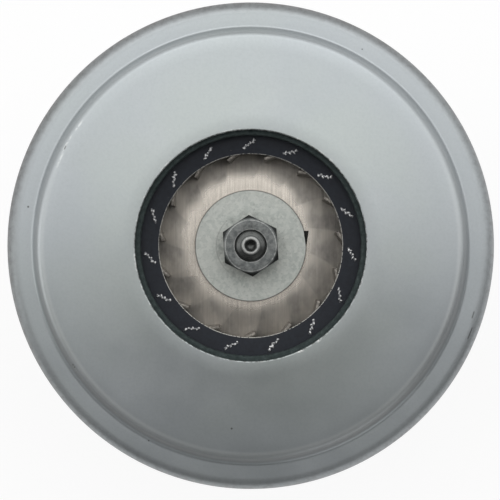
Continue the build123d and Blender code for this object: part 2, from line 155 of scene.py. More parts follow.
class Finish(Nodes):
    def __init__(self, name, **settings):
        self.material = bpy.data.materials.new(name)
        self.material.use_nodes = True
        super().__init__(self.material.node_tree)
        self.shader = self.tree.nodes["Principled BSDF"]
        self.place = self.node("ShaderNodeTexCoord", {}, {}, "Object")
        self.x, self.y, self.z = self.split(self.place)
        self.set(**settings)

    def set(self, **settings):
        for name, value in settings.items():
            self.feed(self.shader.inputs[name.replace("_", " ")], value)
        return self

    def placed(self, scale=(1.0, 1.0, 1.0), turn=(0.0, 0.0, 0.0)):
        return self.node("ShaderNodeMapping", {}, {"Vector": self.place, "Scale": scale, "Rotation": turn})

    def noise(self, size, vector=None, detail=3.0, roughness=0.55, distortion=0.0):
        # size is that of one blotch, in millimetres
        return self.node(
            "ShaderNodeTexNoise", {},
            {"Vector": vector or self.place, "Scale": 1.0 / (size * mm), "Detail": detail,
             "Roughness": roughness, "Distortion": distortion},
            "Fac",
        )

    def cells(self, size, output="Distance"):
        return self.node(
            "ShaderNodeTexVoronoi", {}, {"Vector": self.place, "Scale": 1.0 / (size * mm)}, output,
        )

    def ramp(self, factor, *stops):
        return self.node("ShaderNodeValToRGB", {"stops": stops}, {"Fac": factor}, "Color")

    def bump(self, height, depth, under=None):
        # depth is the bump's real depth in millimetres
        sockets = {"Height": height, "Distance": depth * mm}
        if under:
            sockets["Normal"] = under
        return self.node("ShaderNodeBump", {}, sockets, "Normal")

    def vector(self, **axes):
        return self.node("ShaderNodeCombineXYZ", {}, axes)

    def radius(self):
        # distance from the shaft's axis, in millimetres
        flat = self.vector(X=self.x, Y=self.y)
        return self.node("ShaderNodeVectorMath", {"operation": "LENGTH"}, {0: flat}, "Value") / mm

    def angle(self):
        # turns about the shaft's axis, from -0.5 to 0.5
        return self.maths("ARCTAN2", self.y, self.x) / math.tau

    def nearPoint(self, x, y, reach, soft):
        # 1 within reach of a point, seen along the shaft, and 0 beyond reach + soft, in millimetres
        away = self.node(
            "ShaderNodeVectorMath", {"operation": "DISTANCE"},
            {0: self.placed((1.0, 1.0, 0.0)), 1: (x * mm, y * mm, 0.0)}, "Value",
        )
        return self.below(away, reach * mm, (reach + soft) * mm)


def shaded(tone, share):
    return tuple(value * share for value in tone)


# Modelling helpers. Sizes come in millimetres and meshes are in metres.

def atAngle(radius, degrees, level=0.0):
    turn = math.radians(degrees)
    return Vector((radius * math.cos(turn), radius * math.sin(turn), level))


def closed(shape):
    bmesh.ops.remove_doubles(shape, verts=shape.verts, dist=fine)
    bmesh.ops.recalc_face_normals(shape, faces=shape.faces)
    return shape


def turned(outline, steps):
    # spins a closed outline of (radius, level, rounding) about the shaft
    shape = bmesh.new()
    corners = [shape.verts.new((radius * mm, 0.0, level * mm)) for radius, level, rounding in outline]
    shape.faces.new(corners)
    for index, corner in enumerate(corners):
        here, before, after = (Vector(outline[(index + step) % len(outline)][:2]) for step in (0, -1, 1))
        rounding = outline[index][2]
        if rounding:
            half = (before - here).angle(after - here) / 2
            bmesh.ops.bevel(
                shape, geom=[corner], offset=rounding * mm / math.tan(half), offset_type="OFFSET", segments=4,
                profile=0.5, affect="VERTICES", material=-1,
            )
    bmesh.ops.delete(shape, geom=shape.faces[:], context="FACES_ONLY")
    bmesh.ops.spin(
        shape, geom=shape.verts[:] + shape.edges[:], cent=(0, 0, 0), axis=(0, 0, 1), angle=math.tau,
        steps=steps, use_merge=True,
    )
    return closed(shape)


def ring(inner, outer, low, high, steps, roundings=(0.0, 0.0, 0.0, 0.0)):
    # a plain ring, its edges rounded in turn: inner and outer below, outer and inner above
    corners = ((inner, low), (outer, low), (outer, high), (inner, high))
    return turned([(*corner, rounding) for corner, rounding in zip(corners, roundings)], steps)


def box(low, high):
    shape = bmesh.new()
    bmesh.ops.create_cube(shape, size=1.0)
    size = [(b - a) * mm for a, b in zip(low, high)]
    middle = [(a + b) / 2 * mm for a, b in zip(low, high)]
    bmesh.ops.scale(shape, vec=size, verts=shape.verts)
    bmesh.ops.translate(shape, vec=middle, verts=shape.verts)
    return shape


def softenEdges(shape, width, steeper=30.0):
    steep = math.radians(steeper)
    edges = [e for e in shape.edges if len(e.link_faces) == 2 and e.calc_face_angle() > steep]
    bmesh.ops.bevel(
        shape, geom=edges, offset=width * mm, offset_type="OFFSET", segments=2, profile=0.5,
        affect="EDGES", material=-1, clamp_overlap=True,
    )
    return shape


def repeated(shape, count):
    # the shape and its copies, evenly spaced about the shaft
    bmesh.ops.spin(
        shape, geom=shape.verts[:] + shape.edges[:] + shape.faces[:], cent=(0, 0, 0), axis=(0, 0, 1),
        angle=math.tau * (count - 1) / count, steps=count - 1, use_duplicate=True,
    )
    return shape


def moved(shape, matrix):
    bmesh.ops.transform(shape, matrix=matrix, verts=shape.verts)
    return shape


def turnedBy(degrees, axis="Z"):
    return Matrix.Rotation(math.radians(degrees), 4, axis)


def joined(*shapes):
    whole = bmesh.new()
    for shape in shapes:
        mesh = bpy.data.meshes.new("part")
        shape.to_mesh(mesh)
        shape.free()
        whole.from_mesh(mesh)
        bpy.data.meshes.remove(mesh)
    return whole


def asObject(name, shape):
    mesh = bpy.data.meshes.new(name)
    shape.to_mesh(mesh)
    shape.free()
    made = bpy.data.objects.new(name, mesh)
    scene.collection.objects.link(made)
    return made


def addPiece(name, shape, finish, body, nodes=(), sharp=40.0):
    piece = asObject(name, shape)
    piece.data.shade_smooth()
    piece.data.set_sharp_from_angle(angle=math.radians(sharp))
    piece.data.materials.append(finish.material)
    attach(piece, body)
    if nodes:
        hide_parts(*nodes)
    return piece


def dressed(node, width):
    # a copy of a solid with its flats whole again and its sharp edges softened
    shape = bmesh.new()
    shape.from_mesh(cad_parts[node].data)
    bmesh.ops.remove_doubles(shape, verts=shape.verts, dist=2 * fine)
    bmesh.ops.dissolve_limit(
        shape, angle_limit=math.radians(0.5), use_dissolve_boundaries=False, verts=shape.verts,
        edges=shape.edges,
    )
    return softenEdges(shape, width)


def paint(node, finish):
    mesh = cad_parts[node].data
    mesh.materials.clear()
    mesh.materials.append(finish.material)


def cutWith(operation, shape, cutter):
    # the shape cut by another or joined to it, or what the two have in common
    holders = [asObject("blank", part) for part in (shape, cutter)]
    modifier = holders[0].modifiers.new("cut", "BOOLEAN")
    modifier.operation = operation
    modifier.object = holders[1]
    modifier.solver = "EXACT"
    cut = holders[0].evaluated_get(bpy.context.evaluated_depsgraph_get())
    result = bpy.data.meshes.new_from_object(cut)
    for holder in holders:
        bpy.data.objects.remove(holder)
    made = bmesh.new()
    made.from_mesh(result)
    return closed(made)


def hexagonBar(flats, bottom, top, turn=0.0):
    shape = bmesh.new()
    corner = flats / math.sqrt(3) * mm
    bmesh.ops.create_cone(
        shape, cap_ends=True, segments=6, radius1=corner, radius2=corner, depth=(top - bottom) * mm,
    )
    return moved(shape, Matrix.Translation((0, 0, (top + bottom) / 2 * mm)) @ turnedBy(turn))


def wires(name, runs, thickness, sides=1, smoothness=3):
    # round wires along smooth lines through the air, as one mesh
    curve = bpy.data.curves.new(name, "CURVE")
    curve.dimensions = "3D"
    curve.bevel_depth = thickness * mm / 2
    curve.bevel_resolution = sides
    curve.resolution_u = smoothness
    curve.use_fill_caps = True
    for run in runs:
        spline = curve.splines.new("NURBS")
        spline.points.add(len(run) - 1)
        for point, place in zip(spline.points, run):
            point.co = (*(place * mm), 1.0)
        spline.order_u = min(4, len(run))
        spline.use_endpoint_u = True
    holder = bpy.data.objects.new(name, curve)
    shape = bmesh.new()
    shape.from_mesh(bpy.data.meshes.new_from_object(holder))
    bpy.data.objects.remove(holder)
    return shape


# Fan cover. Its marks are given by their place as x and y, their reach, and a streak's radius.

cover = {
    "radius": 64.98, "skirtBottom": 77.0, "shoulder": 106.399, "wall": 1.0, "corner": 3.4, "skirtEdge": 0.3,
    "grooveRadius": 57.9, "grooveRounding": 1.0, "lipRadius": 56.0, "lipLevel": 108.832, "lipRounding": 2.5,
    "underRounding": 2.2, "underGroove": 0.4, "inletRadius": 30.2, "inletLevel": 112.0, "inletRounding": 0.3,
    "sag": 0.09, "plateSteps": 6, "steps": 288,
    "darkTone": (0.44, 0.474, 0.484), "lightTone": (0.50, 0.532, 0.54), "greenTone": (0.47, 0.512, 0.492),
    "blueTone": (0.462, 0.496, 0.522), "grainTone": (0.36, 0.39, 0.40), "flakeTone": (0.75, 0.78, 0.78),
    "grimeAndShadeTone": (0.20, 0.20, 0.20), "dotTone": (0.06, 0.06, 0.055), "bareMetal": (0.86, 0.88, 0.86),
    "bareStreaks": [
        (-48.4, 26.8, 1.6, 55.35), (-45.2, 31.6, 0.7, 55.1),
        (-50.2, 22.4, 1.2, 55.0), (46.3, -34.9, 0.2, 58.0),
    ],
    "darkStreaks": [(-48.85, 25.8, 0.3, 55.2), (58.9, -18.3, 0.7, 61.65), (58.1, -23.2, 1.4, 62.55)],
    "dots": [
        (-58.9, 10.3, 0.16), (-46.8, -31.4, 0.10), (-46.4, -32.0, 0.08),
        (-5.0, -48.0, 0.16), (-27.0, -51.6, 0.10), (29.5, 52.0, 0.08),
    ],
    "chips": [(13.2, -28.1, 0.7), (18.0, -25.0, 0.3), (20.9, 22.2, 0.12), (24.6, 19.0, 0.1)],
}


def coverPaint():
    c = cover
    finish = Finish("coverPaint", Metallic=0.78)
    radius, level, up = finish.radius(), finish.z / mm, finish.y / mm
    blotches = finish.noise(20.0, detail=4.0)
    hue = finish.noise(34.0, detail=2.0)
    grain = finish.noise(0.7, detail=2.0)
    tone = finish.mix(finish.spread(blotches), c["darkTone"], c["lightTone"])
    tone = finish.mix(finish.between(hue, 0.4, 0.65, 0.0, 0.6), tone, c["greenTone"])
    tone = finish.mix(finish.between(radius, 34.0, 56.0, 0.0, 0.45), tone, c["blueTone"])
    tone = finish.mix(finish.between(grain, 0.35, 0.75, 0.0, 0.2), tone, c["grainTone"])
    tone = finish.mix(finish.below(finish.cells(0.28), 0.05, 0.35, 0.10), tone, c["flakeTone"])
    # grime in patches and painted shade over the rounded rim, thickest at the far left, and painted shade in
    # the groove, thickest on the near side
    patches = finish.noise(1.6, finish.placed((1.0, 1.0, 0.5)), detail=5.0, roughness=0.65)
    onRim = finish.between(radius, 60.8, 64.0) * finish.between(level, 98.0, 105.5)
    rimShade = finish.between(finish.y * 0.9 / mm - finish.x * 0.5 / mm, -40.0, 60.0, 0.21, 0.54)
    rimShade = rimShade + finish.between(radius, 63.4, 64.8, 0.0, 0.3)
    grooveShade = finish.band(radius, 56.75, 0.35, 1.05) * finish.between(level, 106.2, 106.3)
    grime = onRim * (rimShade + finish.between(patches, 0.42, 0.66, 0.0, 0.22))
    grime = grime + grooveShade * finish.between(up, -45.0, 45.0, 0.66, 0.02)
    tone = finish.mix(grime, tone, c["grimeAndShadeTone"])
    # a painted highlight along the top of the lip, in the bare metal's tone, strongest on the near side
    rubbed = finish.band(radius, 55.1, 0.3, 1.1, 0.22) * finish.below(up, -30.0, 50.0)
    tone = finish.mix(rubbed, tone, c["bareMetal"])
    # short bare and dark streaks that follow the rim, and dark dots
    flecks = finish.noise(0.6)
    bare, dark, chips = 0.0, 0.0, 0.0
    for x, y, reach, line in c["bareStreaks"]:
        streak = finish.band(radius, line, 0.12, 0.34, 0.4)
        bare = finish.either(bare, finish.nearPoint(x, y, reach, 1.5) * streak)
    bare = bare * finish.between(flecks, 0.40, 0.56)
    for x, y, reach, line in c["darkStreaks"]:
        streak = finish.band(radius, line, 0.06, 0.26, 0.65)
        dark = finish.either(dark, finish.nearPoint(x, y, reach, 0.5) * streak)
    for x, y, reach in c["dots"]:
        dark = finish.either(dark, finish.nearPoint(x, y, reach, 0.20) * 0.75)
    # paint chipped and worn off the edge of the hole in places, specks all over, and fluff from the seal
    for x, y, reach in c["chips"]:
        chips = finish.either(chips, finish.nearPoint(x, y, reach, 0.6))
    chips = chips * finish.between(flecks, 0.42, 0.50) * finish.below(radius, 30.65, 30.95)
    worn = finish.between(finish.noise(2.4, detail=4.0), 0.56, 0.66, 0.0, 0.6)
    worn = worn * finish.below(radius, 30.5, 30.8)
    specks = finish.below(finish.cells(5.5), 0.020, 0.034, 0.8)
    specks = specks * finish.between(finish.noise(14.0), 0.60, 0.64)
    bare = finish.either(finish.either(bare, specks), finish.either(chips, worn))
    tone = finish.mix(bare, tone, c["bareMetal"])
    fluff = finish.between(finish.noise(0.9), 0.46, 0.58, 0.0, 0.7)
    dark = finish.either(dark, fluff * finish.below(radius, 30.3, 30.62))
    tone = finish.mix(dark, tone, c["dotTone"])
    roughness = finish.spread(blotches, 0.33, 0.39) + grime * 0.15 - bare * 0.1
    under = finish.bump(finish.noise(1.6, detail=2.0), 0.014)
    return finish.set(Base_Color=tone, Roughness=roughness, Normal=finish.bump(grain, 0.008, under))


def fanCover():
    c = cover
    under = c["wall"]
    # the plate sinks a little between its lip and its hole
    plate = []
    for step in range(1, c["plateSteps"]):
        share = step / c["plateSteps"]
        radius = c["lipRadius"] + (c["inletRadius"] - c["lipRadius"]) * share
        level = c["lipLevel"] + (c["inletLevel"] - c["lipLevel"]) * share
        plate.append((radius, level - 4 * c["sag"] * share * (1 - share), 0.0))
    return turned([
        (c["radius"], c["skirtBottom"], c["skirtEdge"]),
        (c["radius"], c["shoulder"], c["corner"]),
        (c["grooveRadius"], c["shoulder"], c["grooveRounding"]),
        (c["lipRadius"], c["lipLevel"], c["lipRounding"]),
        *plate,
        (c["inletRadius"], c["inletLevel"], c["inletRounding"]),
        (c["inletRadius"], c["inletLevel"] - under, c["inletRounding"]),
        (c["lipRadius"], c["lipLevel"] - under, c["underRounding"]),
        (c["lipRadius"], c["shoulder"] - under, c["underGroove"]),
        (c["radius"] - under, c["shoulder"] - under, c["corner"] - under),
        (c["radius"] - under, c["skirtBottom"], c["skirtEdge"]),
    ], c["steps"])


addPiece("fanCover", fanCover(), coverPaint(), "casing", ["fan_cover"], sharp=50.0)
print("fan cover done")


# Seal

seal = {
    "inner": 29.0, "outer": 33.5, "bottom": 107.9, "top": 110.45, "roundings": (0.3, 0.0, 0.0, 0.5),
    "steps": 540, "fray": 0.16, "frayBand": 0.9, "frayRise": 0.3, "frayCoarse": 900.0, "frayFine": 2600.0,
    "darkTone": (0.022, 0.032, 0.031), "tone": (0.056, 0.073, 0.072), "paleTone": (0.13, 0.155, 0.15),
    "fibreCount": 260, "fibreLength": 0.9, "fibreThickness": 0.05, "fibreLean": 2.2, "seed": 4,
}


def sealFelt():
    s = seal
    finish = Finish("sealFelt", Specular_IOR_Level=0.25)
    clumps = finish.noise(1.1, detail=5.0, roughness=0.7)
    threads = finish.noise(0.35, finish.placed((1.0, 1.0, 0.25)), detail=4.0, distortion=0.6)
    tone = finish.ramp(clumps, (0.25, s["darkTone"]), (0.6, s["tone"]), (0.85, s["paleTone"]))
    normal = finish.bump(threads, 0.12, finish.bump(clumps, 0.15))
    return finish.set(Base_Color=tone, Roughness=0.95, Normal=normal)


def inletSeal():
    s = seal
    shape = ring(s["inner"], s["outer"], s["bottom"], s["top"], s["steps"], s["roundings"])
    for vert in shape.verts:
        radius = math.hypot(vert.co.x, vert.co.y)
        if radius < (s["inner"] + s["frayBand"]) * mm:
            ragged = noise.noise(vert.co * s["frayCoarse"]) + 0.6 * noise.noise(vert.co * s["frayFine"])
            vert.co.xy *= 1.0 + s["fray"] * mm * ragged / radius
            vert.co.z += s["frayRise"] * s["fray"] * mm * ragged
    return shape


def sealFibres():
    s = seal
    draw = random.Random(s["seed"])
    runs = []
    for number in range(s["fibreCount"]):
        angle = draw.uniform(0.0, 360.0)
        level = draw.uniform(s["bottom"] + 0.5, s["top"] - 0.1)
        lean = draw.uniform(-1.0, 1.0)
        reach = s["fibreLength"] * draw.uniform(0.1, 0.4)
        runs.append([
            atAngle(
                s["inner"] + 0.1 - reach * share, angle + lean * share * s["fibreLean"],
                level + draw.uniform(-0.15, 0.25) * share,
            )
            for share in (0.0, 0.35, 0.7, 1.0)
        ])
    return wires("sealFibres", runs, s["fibreThickness"], sides=0)


feltFinish = sealFelt()
addPiece("inletSeal", inletSeal(), feltFinish, "casing", ["inlet_seal"], sharp=60.0)
addPiece("sealFibres", sealFibres(), feltFinish, "casing", sharp=80.0)
print("seal done")


# Impeller and the washer on it, whose notch also shades the plate

impeller = {
    "radius": 53.0, "plateBottom": 95.0, "plateTop": 96.2, "shroudUnder": 106.7, "shroudTop": 107.5,
    "eyeRadius": 24.2, "boreRadius": 4.02, "plateRoundings": (0.0, 0.2, 0.2, 0.0),
    "shroudRoundings": (0.12, 0.2, 0.2, 0.15), "steps": 240,
    "vaneCount": 15, "vaneInner": 23.2, "vaneOuter": 52.0, "vaneInlet": 27.0, "vaneOutlet": 40.0,
    "vaneThickness": 0.8, "vaneEdge": 0.12, "vaneSteps": 22,
    "tabRadius": 26.8, "tabAngle": 91.0, "tabLength": 4.2, "tabWidth": 0.55, "tabHeight": 0.05,
    "tabEdge": 0.1, "lumps": 6, "lumpShift": 0.12, "lumpSide": 0.2, "lumpLength": (0.28, 0.66),
    "lumpWidth": (0.18, 0.36), "lumpHeight": (0.16, 0.36), "lumpTurn": (20, 75), "seed": 11,
    "tone": (0.745, 0.687, 0.607), "farShadeTone": (0.22, 0.212, 0.20), "dustAndShadeTone": (0.20, 0.193, 0.182),
    "shadeTone": (0.02, 0.02, 0.018),
    "dustAndShadeFrom": 16.5, "dustAndShadeTo": 19.9, "shadowPetalAngle": 105.0, "shadowPetalSweep": 1.0,
    "dishFrom": 16.5, "dishTo": 24.0, "dishDepth": 0.3,
}
washer = {
    "radius": 15.0, "bore": 4.02, "bottom": 96.2, "top": 98.4, "rounding": 0.12, "steps": 180,
    "notchWidth": 0.7, "notchHeight": 4.8, "notchLow": -0.8, "notchShade": 1.4,
    "darkTone": (0.52, 0.555, 0.52), "lightTone": (0.60, 0.625, 0.585), "spangleTone": (0.74, 0.755, 0.71),
    "fleckTone": (0.30, 0.33, 0.31), "speckTone": (0.16, 0.17, 0.16), "stainTone": (0.27, 0.29, 0.27),
    "edgeShadeTone": (0.08, 0.08, 0.072),
}


def rolledAluminium():
    # fine lines from the rolling, painted shade over the far half, dust and painted shade in a ring round the
    # washer, and the dish that the plate is pressed to
    v = impeller
    finish = Finish("plateAluminium", Metallic=0.96)
    x, y, radius = finish.x, finish.y, finish.radius()
    fineLines = finish.noise(0.13, finish.placed((1.0, 0.015, 1.0)), detail=2.0, roughness=0.5)
    rolled = finish.noise(0.55, finish.placed((1.0, 0.03, 1.0)), detail=4.0, roughness=0.65)
    broad = finish.noise(5.0, finish.placed((1.0, 0.12, 1.0)))
    tone = finish.mix(finish.spread(rolled), shaded(v["tone"], 0.80), v["tone"])
    tone = finish.mix(finish.between(broad, 0.35, 0.7, 0.0, 0.3), tone, shaded(v["tone"], 0.82))
    # painted shade over the far half of the plate
    tone = finish.mix(finish.between(y / mm, -16.0, 0.0, 0.0, 0.2), tone, v["farShadeTone"])
    # dust and painted shade lie in petals, painted vane shadows each with its sharp side at a vane's inner
    # end
    ahead = finish.angle() * 360.0 - v["shadowPetalAngle"] + (radius - v["vaneInner"]) * v["shadowPetalSweep"]
    shadowPetal = finish.node("ShaderNodeMath", {"operation": "FRACT"}, {0: ahead * (v["vaneCount"] / 360.0)})
    shadowPetal = finish.between(shadowPetal, 0.0, 0.08) * finish.below(shadowPetal, 0.1, 0.95)
    shadowPetal = shadowPetal * finish.between(finish.noise(7.0, detail=2.0), 0.35, 0.65, 0.5, 1.0)
    lean = x * 0.06 / mm - y * 0.05 / mm + (abs(x) - abs(y)) * 0.03 / mm
    dustAndShade = finish.between(radius + lean + shadowPetal - 0.2, v["dustAndShadeFrom"], v["dustAndShadeTo"])
    dustAndShade = dustAndShade * finish.between(finish.noise(3.4, finish.placed((1.0, 0.6, 1.0))), 0.35, 0.65, 0.6, 1.0)
    tone = finish.mix(dustAndShade * (shadowPetal * 0.36 + 0.54), tone, v["dustAndShadeTone"])
    # painted shade beside the washer's notch, and a painted shadow round the washer
    washerShadow = finish.below(radius, 15.05, 15.32, 0.6) * finish.between(finish.z / mm, 95.9, 96.1)
    tone = finish.mix(finish.either(notchShade(finish), washerShadow), tone, v["shadeTone"])
    dish = finish.below(radius, v["dishFrom"], v["dishTo"])
    return finish.set(
        Base_Color=tone, Roughness=finish.spread(finish.noise(9.0), 0.21, 0.29) + dustAndShade * 0.14,
        Normal=finish.bump(fineLines, 0.045, finish.bump(dish, v["dishDepth"])),
    )


def notchShade(finish):
    # painted shade in a wedge at the washer's notch, wider upwards
    w = washer
    rise = finish.y / mm - w["notchLow"]
    half = rise * 0.5 * w["notchShade"] / w["notchHeight"]
    across = abs(finish.x / mm - w["radius"] - 0.05)
    inside = finish.between(half - across, -0.07, 0.05)
    return inside * finish.below(rise - w["notchHeight"], 0.0, 0.15) * finish.between(rise, 0.3, 0.6)


def vaneAluminium():
    # darker towards the inner ends, in patches
    finish = Finish("vaneAluminium", Metallic=0.85)
    spots = finish.noise(0.7, detail=4.0)
    dull = finish.between(finish.radius(), 24.6, 28.0, 0.88, 0.25)
    dull = dull * finish.between(spots, 0.3, 0.6, 0.75, 1.0)
    return finish.set(
        Base_Color=finish.mix(dull, impeller["tone"], (0.10, 0.095, 0.088)),
        Roughness=finish.spread(spots, 0.38, 0.52), Normal=finish.bump(spots, 0.02),
    )


def shroudBlack():
    # black paint, rubbed off in places at the eye, with a few scuffs
    finish = Finish("shroudBlack", Specular_IOR_Level=0.3)
    mottle = finish.noise(1.2, detail=5.0, roughness=0.65)
    rubbed = finish.between(finish.noise(0.5, detail=4.0), 0.40, 0.48)
    rubbed = rubbed * finish.below(finish.radius(), 24.28, 24.42)
    scuffs = finish.noise(0.8, finish.placed((0.3, 1.0, 1.0), (0.0, 0.0, 0.5)), 6.0)
    scuffs = finish.between(scuffs, 0.70, 0.76) * 0.35
    tone = finish.ramp(mottle, (0.3, (0.008, 0.010, 0.016)), (0.7, (0.017, 0.021, 0.029)))
    tone = finish.mix(rubbed + scuffs * 0.3, tone, (0.62, 0.61, 0.57))
    roughness = finish.spread(mottle, 0.42, 0.56)
    return finish.set(Base_Color=tone, Roughness=roughness, Metallic=rubbed, Normal=finish.bump(mottle, 0.02))


def peenedMetal():
    # bright on the tops of the lumps
    finish = Finish("peenedTabs", Metallic=0.8)
    dents = finish.noise(0.4, detail=4.0)
    top = impeller["shroudTop"]
    worn = finish.between(finish.z / mm + dents * 0.3, top + 0.12, top + 0.44)
    return finish.set(
        Base_Color=finish.mix(worn, (0.10, 0.105, 0.115), (0.80, 0.80, 0.80)),
        Normal=finish.bump(dents, 0.08), Roughness=finish.spread(dents, 0.25, 0.5),
    )


def vaneAndTabs():
    # one upright vane on the plate, curved about its own centre, and the staked tabs of them all
    v = impeller
    inlet, outlet = math.radians(v["vaneInlet"]), math.radians(v["vaneOutlet"])
    bend = (v["vaneOuter"] ** 2 - v["vaneInner"] ** 2) / 2 / (
        v["vaneOuter"] * math.cos(outlet) - v["vaneInner"] * math.cos(inlet)
    )
    centre = Vector((v["vaneInner"] - bend * math.cos(inlet), -bend * math.sin(inlet), 0.0))

    def angleAt(radius):
        share = (centre.length ** 2 + bend ** 2 - radius ** 2) / (2 * centre.length * bend)
        return math.atan2(-centre.y, -centre.x) - math.acos(share)

    start, end, tab = (angleAt(v[name]) for name in ("vaneInner", "vaneOuter", "tabRadius"))
    strip = bmesh.new()
    near, far = bend - v["vaneThickness"] / 2, bend + v["vaneThickness"] / 2
    low, high = v["plateTop"], v["shroudUnder"]
    section = []
    for reach, level in ((near, low), (far, low), (far, high), (near, high)):
        corner = centre + reach * Vector((math.cos(start), math.sin(start), 0.0))
        section.append(strip.verts.new((corner.x * mm, corner.y * mm, level * mm)))
    bmesh.ops.spin(
        strip, geom=[strip.faces.new(section)] + section + strip.edges[:], cent=centre * mm, axis=(0, 0, 1),
        angle=end - start, steps=v["vaneSteps"],
    )
    softenEdges(closed(strip), v["vaneEdge"], steeper=50.0)
    # each vane's tab goes through the shroud and is peened over it, no two alike
    draw = random.Random(v["seed"])
    middle = centre + bend * Vector((math.cos(tab), math.sin(tab), 0.0))
    lean = Matrix.Translation(middle * mm) @ turnedBy(math.degrees(tab) + 90.0)
    first = turnedBy(v["tabAngle"] - math.degrees(math.atan2(middle.y, middle.x)))
    turns = [turnedBy(360.0 / v["vaneCount"] * number) for number in range(v["vaneCount"])]
    tabs = joined(*(moved(peenedTab(draw), turn @ lean) for turn in turns))
    return moved(strip, first), moved(tabs, first)


def peenedTab(draw):
    v = impeller
    half, side = v["tabLength"] / 2, v["tabWidth"] / 2
    flat = box((-half, -side, v["shroudUnder"] - 0.5), (half, side, v["shroudTop"] + v["tabHeight"]))
    lumps = [softenEdges(flat, v["tabEdge"], steeper=50.0)]
    shift = v["lumpShift"]
    for number in range(v["lumps"]):
        lump = bmesh.new()
        bmesh.ops.create_icosphere(lump, subdivisions=2, radius=mm)
        along = (number + 0.5) / v["lumps"] * 2 - 1 + draw.uniform(-shift, shift)
        across = (-v["lumpSide"], v["lumpSide"])[number % 2] + draw.uniform(-shift, shift)
        place = Vector((half * along * 0.92, across, v["shroudTop"]))
        size = [draw.uniform(*v[name]) for name in ("lumpLength", "lumpWidth", "lumpHeight")]
        turn = turnedBy(draw.uniform(*v["lumpTurn"]) * (-1) ** number)
        lumps.append(moved(lump, Matrix.Translation(place * mm) @ turn @ Matrix.Diagonal((*size, 1.0))))
    return joined(*lumps)


def addImpeller():
    v = impeller
    vane, tabs = vaneAndTabs()
    plateFinish = rolledAluminium()
    addPiece(
        "impellerVanes", repeated(vane, v["vaneCount"]), vaneAluminium(), "rotor",
        ["impeller_vanes"], sharp=35.0,
    )
    addPiece("stakedTabs", tabs, peenedMetal(), "rotor", sharp=50.0)
    plate = ring(
        v["boreRadius"], v["radius"], v["plateBottom"], v["plateTop"], v["steps"], v["plateRoundings"],
    )
    addPiece("impellerBackPlate", plate, plateFinish, "rotor", ["impeller_back_plate"])
    shroud = ring(
        v["eyeRadius"], v["radius"], v["shroudUnder"], v["shroudTop"], v["steps"], v["shroudRoundings"],
    )
    addPiece("impellerShroud", shroud, shroudBlack(), "rotor", ["impeller_shroud"])


addImpeller()
print("impeller done")


# Washer, nut and shaft

nut = {
    "flats": 14.3, "bottom": 98.4, "top": 104.9, "turn": 3.8, "chamferRadius": 6.95, "chamfer": 30.0,
    "hole": 3.75, "countersink": 4.35, "countersinkDepth": 0.35, "steps": 96, "edge": 0.06,
    "darkTone": (0.13, 0.14, 0.138), "lightTone": (0.24, 0.25, 0.245), "highlightTone": (0.55, 0.56, 0.54),
    "speckTone": (0.5, 0.5, 0.48), "sideShadeTone": (0.028, 0.030, 0.029),
}
shaft = {
    "bottom": 2.0, "journal": 4.0, "body": 5.0, "bodyStart": 9.0, "bodyEnd": 82.5, "top": 107.0,
    "threadBottom": 99.0, "threadEnd": 105.8, "pitch": 1.25, "threadDepth": 0.55, "chamferRadius": 2.75,
    "landRadius": 2.3, "landHeight": 0.25, "centreRadius": 1.6, "centreDepth": 2.2, "steps": 96,
    "darkTone": (0.30, 0.31, 0.305), "lightTone": (0.44, 0.45, 0.44), "grimeAndShadeTone": (0.05, 0.053, 0.05),
    "holeShadeTone": (0.05, 0.052, 0.05), "landHighlightTone": (0.55, 0.55, 0.53),
}


def washerSteel():
    w = washer
    finish = Finish("washerSteel", Metallic=0.45)
    radius = finish.radius()
    flecks = finish.noise(0.6, detail=5.0, roughness=0.7)
    clouds = finish.noise(5.0, detail=4.0)
    tone = finish.mix(finish.spread(clouds), w["darkTone"], w["lightTone"])
    spangle = finish.between(finish.cells(0.8, "Color"), 0.2, 0.8, 0.0, 0.5)
    tone = finish.mix(spangle, tone, w["spangleTone"])
    tone = finish.mix(finish.between(flecks, 0.56, 0.66, 0.0, 0.35), tone, w["fleckTone"])
    specks = finish.between(finish.noise(0.45), 0.64, 0.70, 0.0, 0.6)
    tone = finish.mix(specks * finish.between(radius, 8.0, 11.5, 1.0, 0.15), tone, w["speckTone"])
    # an oily stain round the nut, the mark of a tool, and painted shade round the edge, down the side and in
    # the notch
    stain = finish.between(finish.noise(2.6, detail=5.0), 0.50, 0.62) * finish.below(radius, 8.2, 10.4)
    toolMark = finish.band(radius, 9.3, 0.05, 0.25, 0.35) * finish.below(finish.x / mm, -7.5, -5.0)
    tone = finish.mix(stain * 0.45 + toolMark, tone, w["stainTone"])
    edge = finish.between(radius, 14.76, 14.92, 0.0, 0.75)
    edge = finish.either(edge, finish.below(finish.z / mm, 98.1, 98.3))
    tone = finish.mix(finish.either(edge, notchShade(finish)), tone, w["edgeShadeTone"])
    roughness = finish.spread(flecks, 0.50, 0.66)
    return finish.set(Base_Color=tone, Roughness=roughness, Normal=finish.bump(flecks, 0.02))


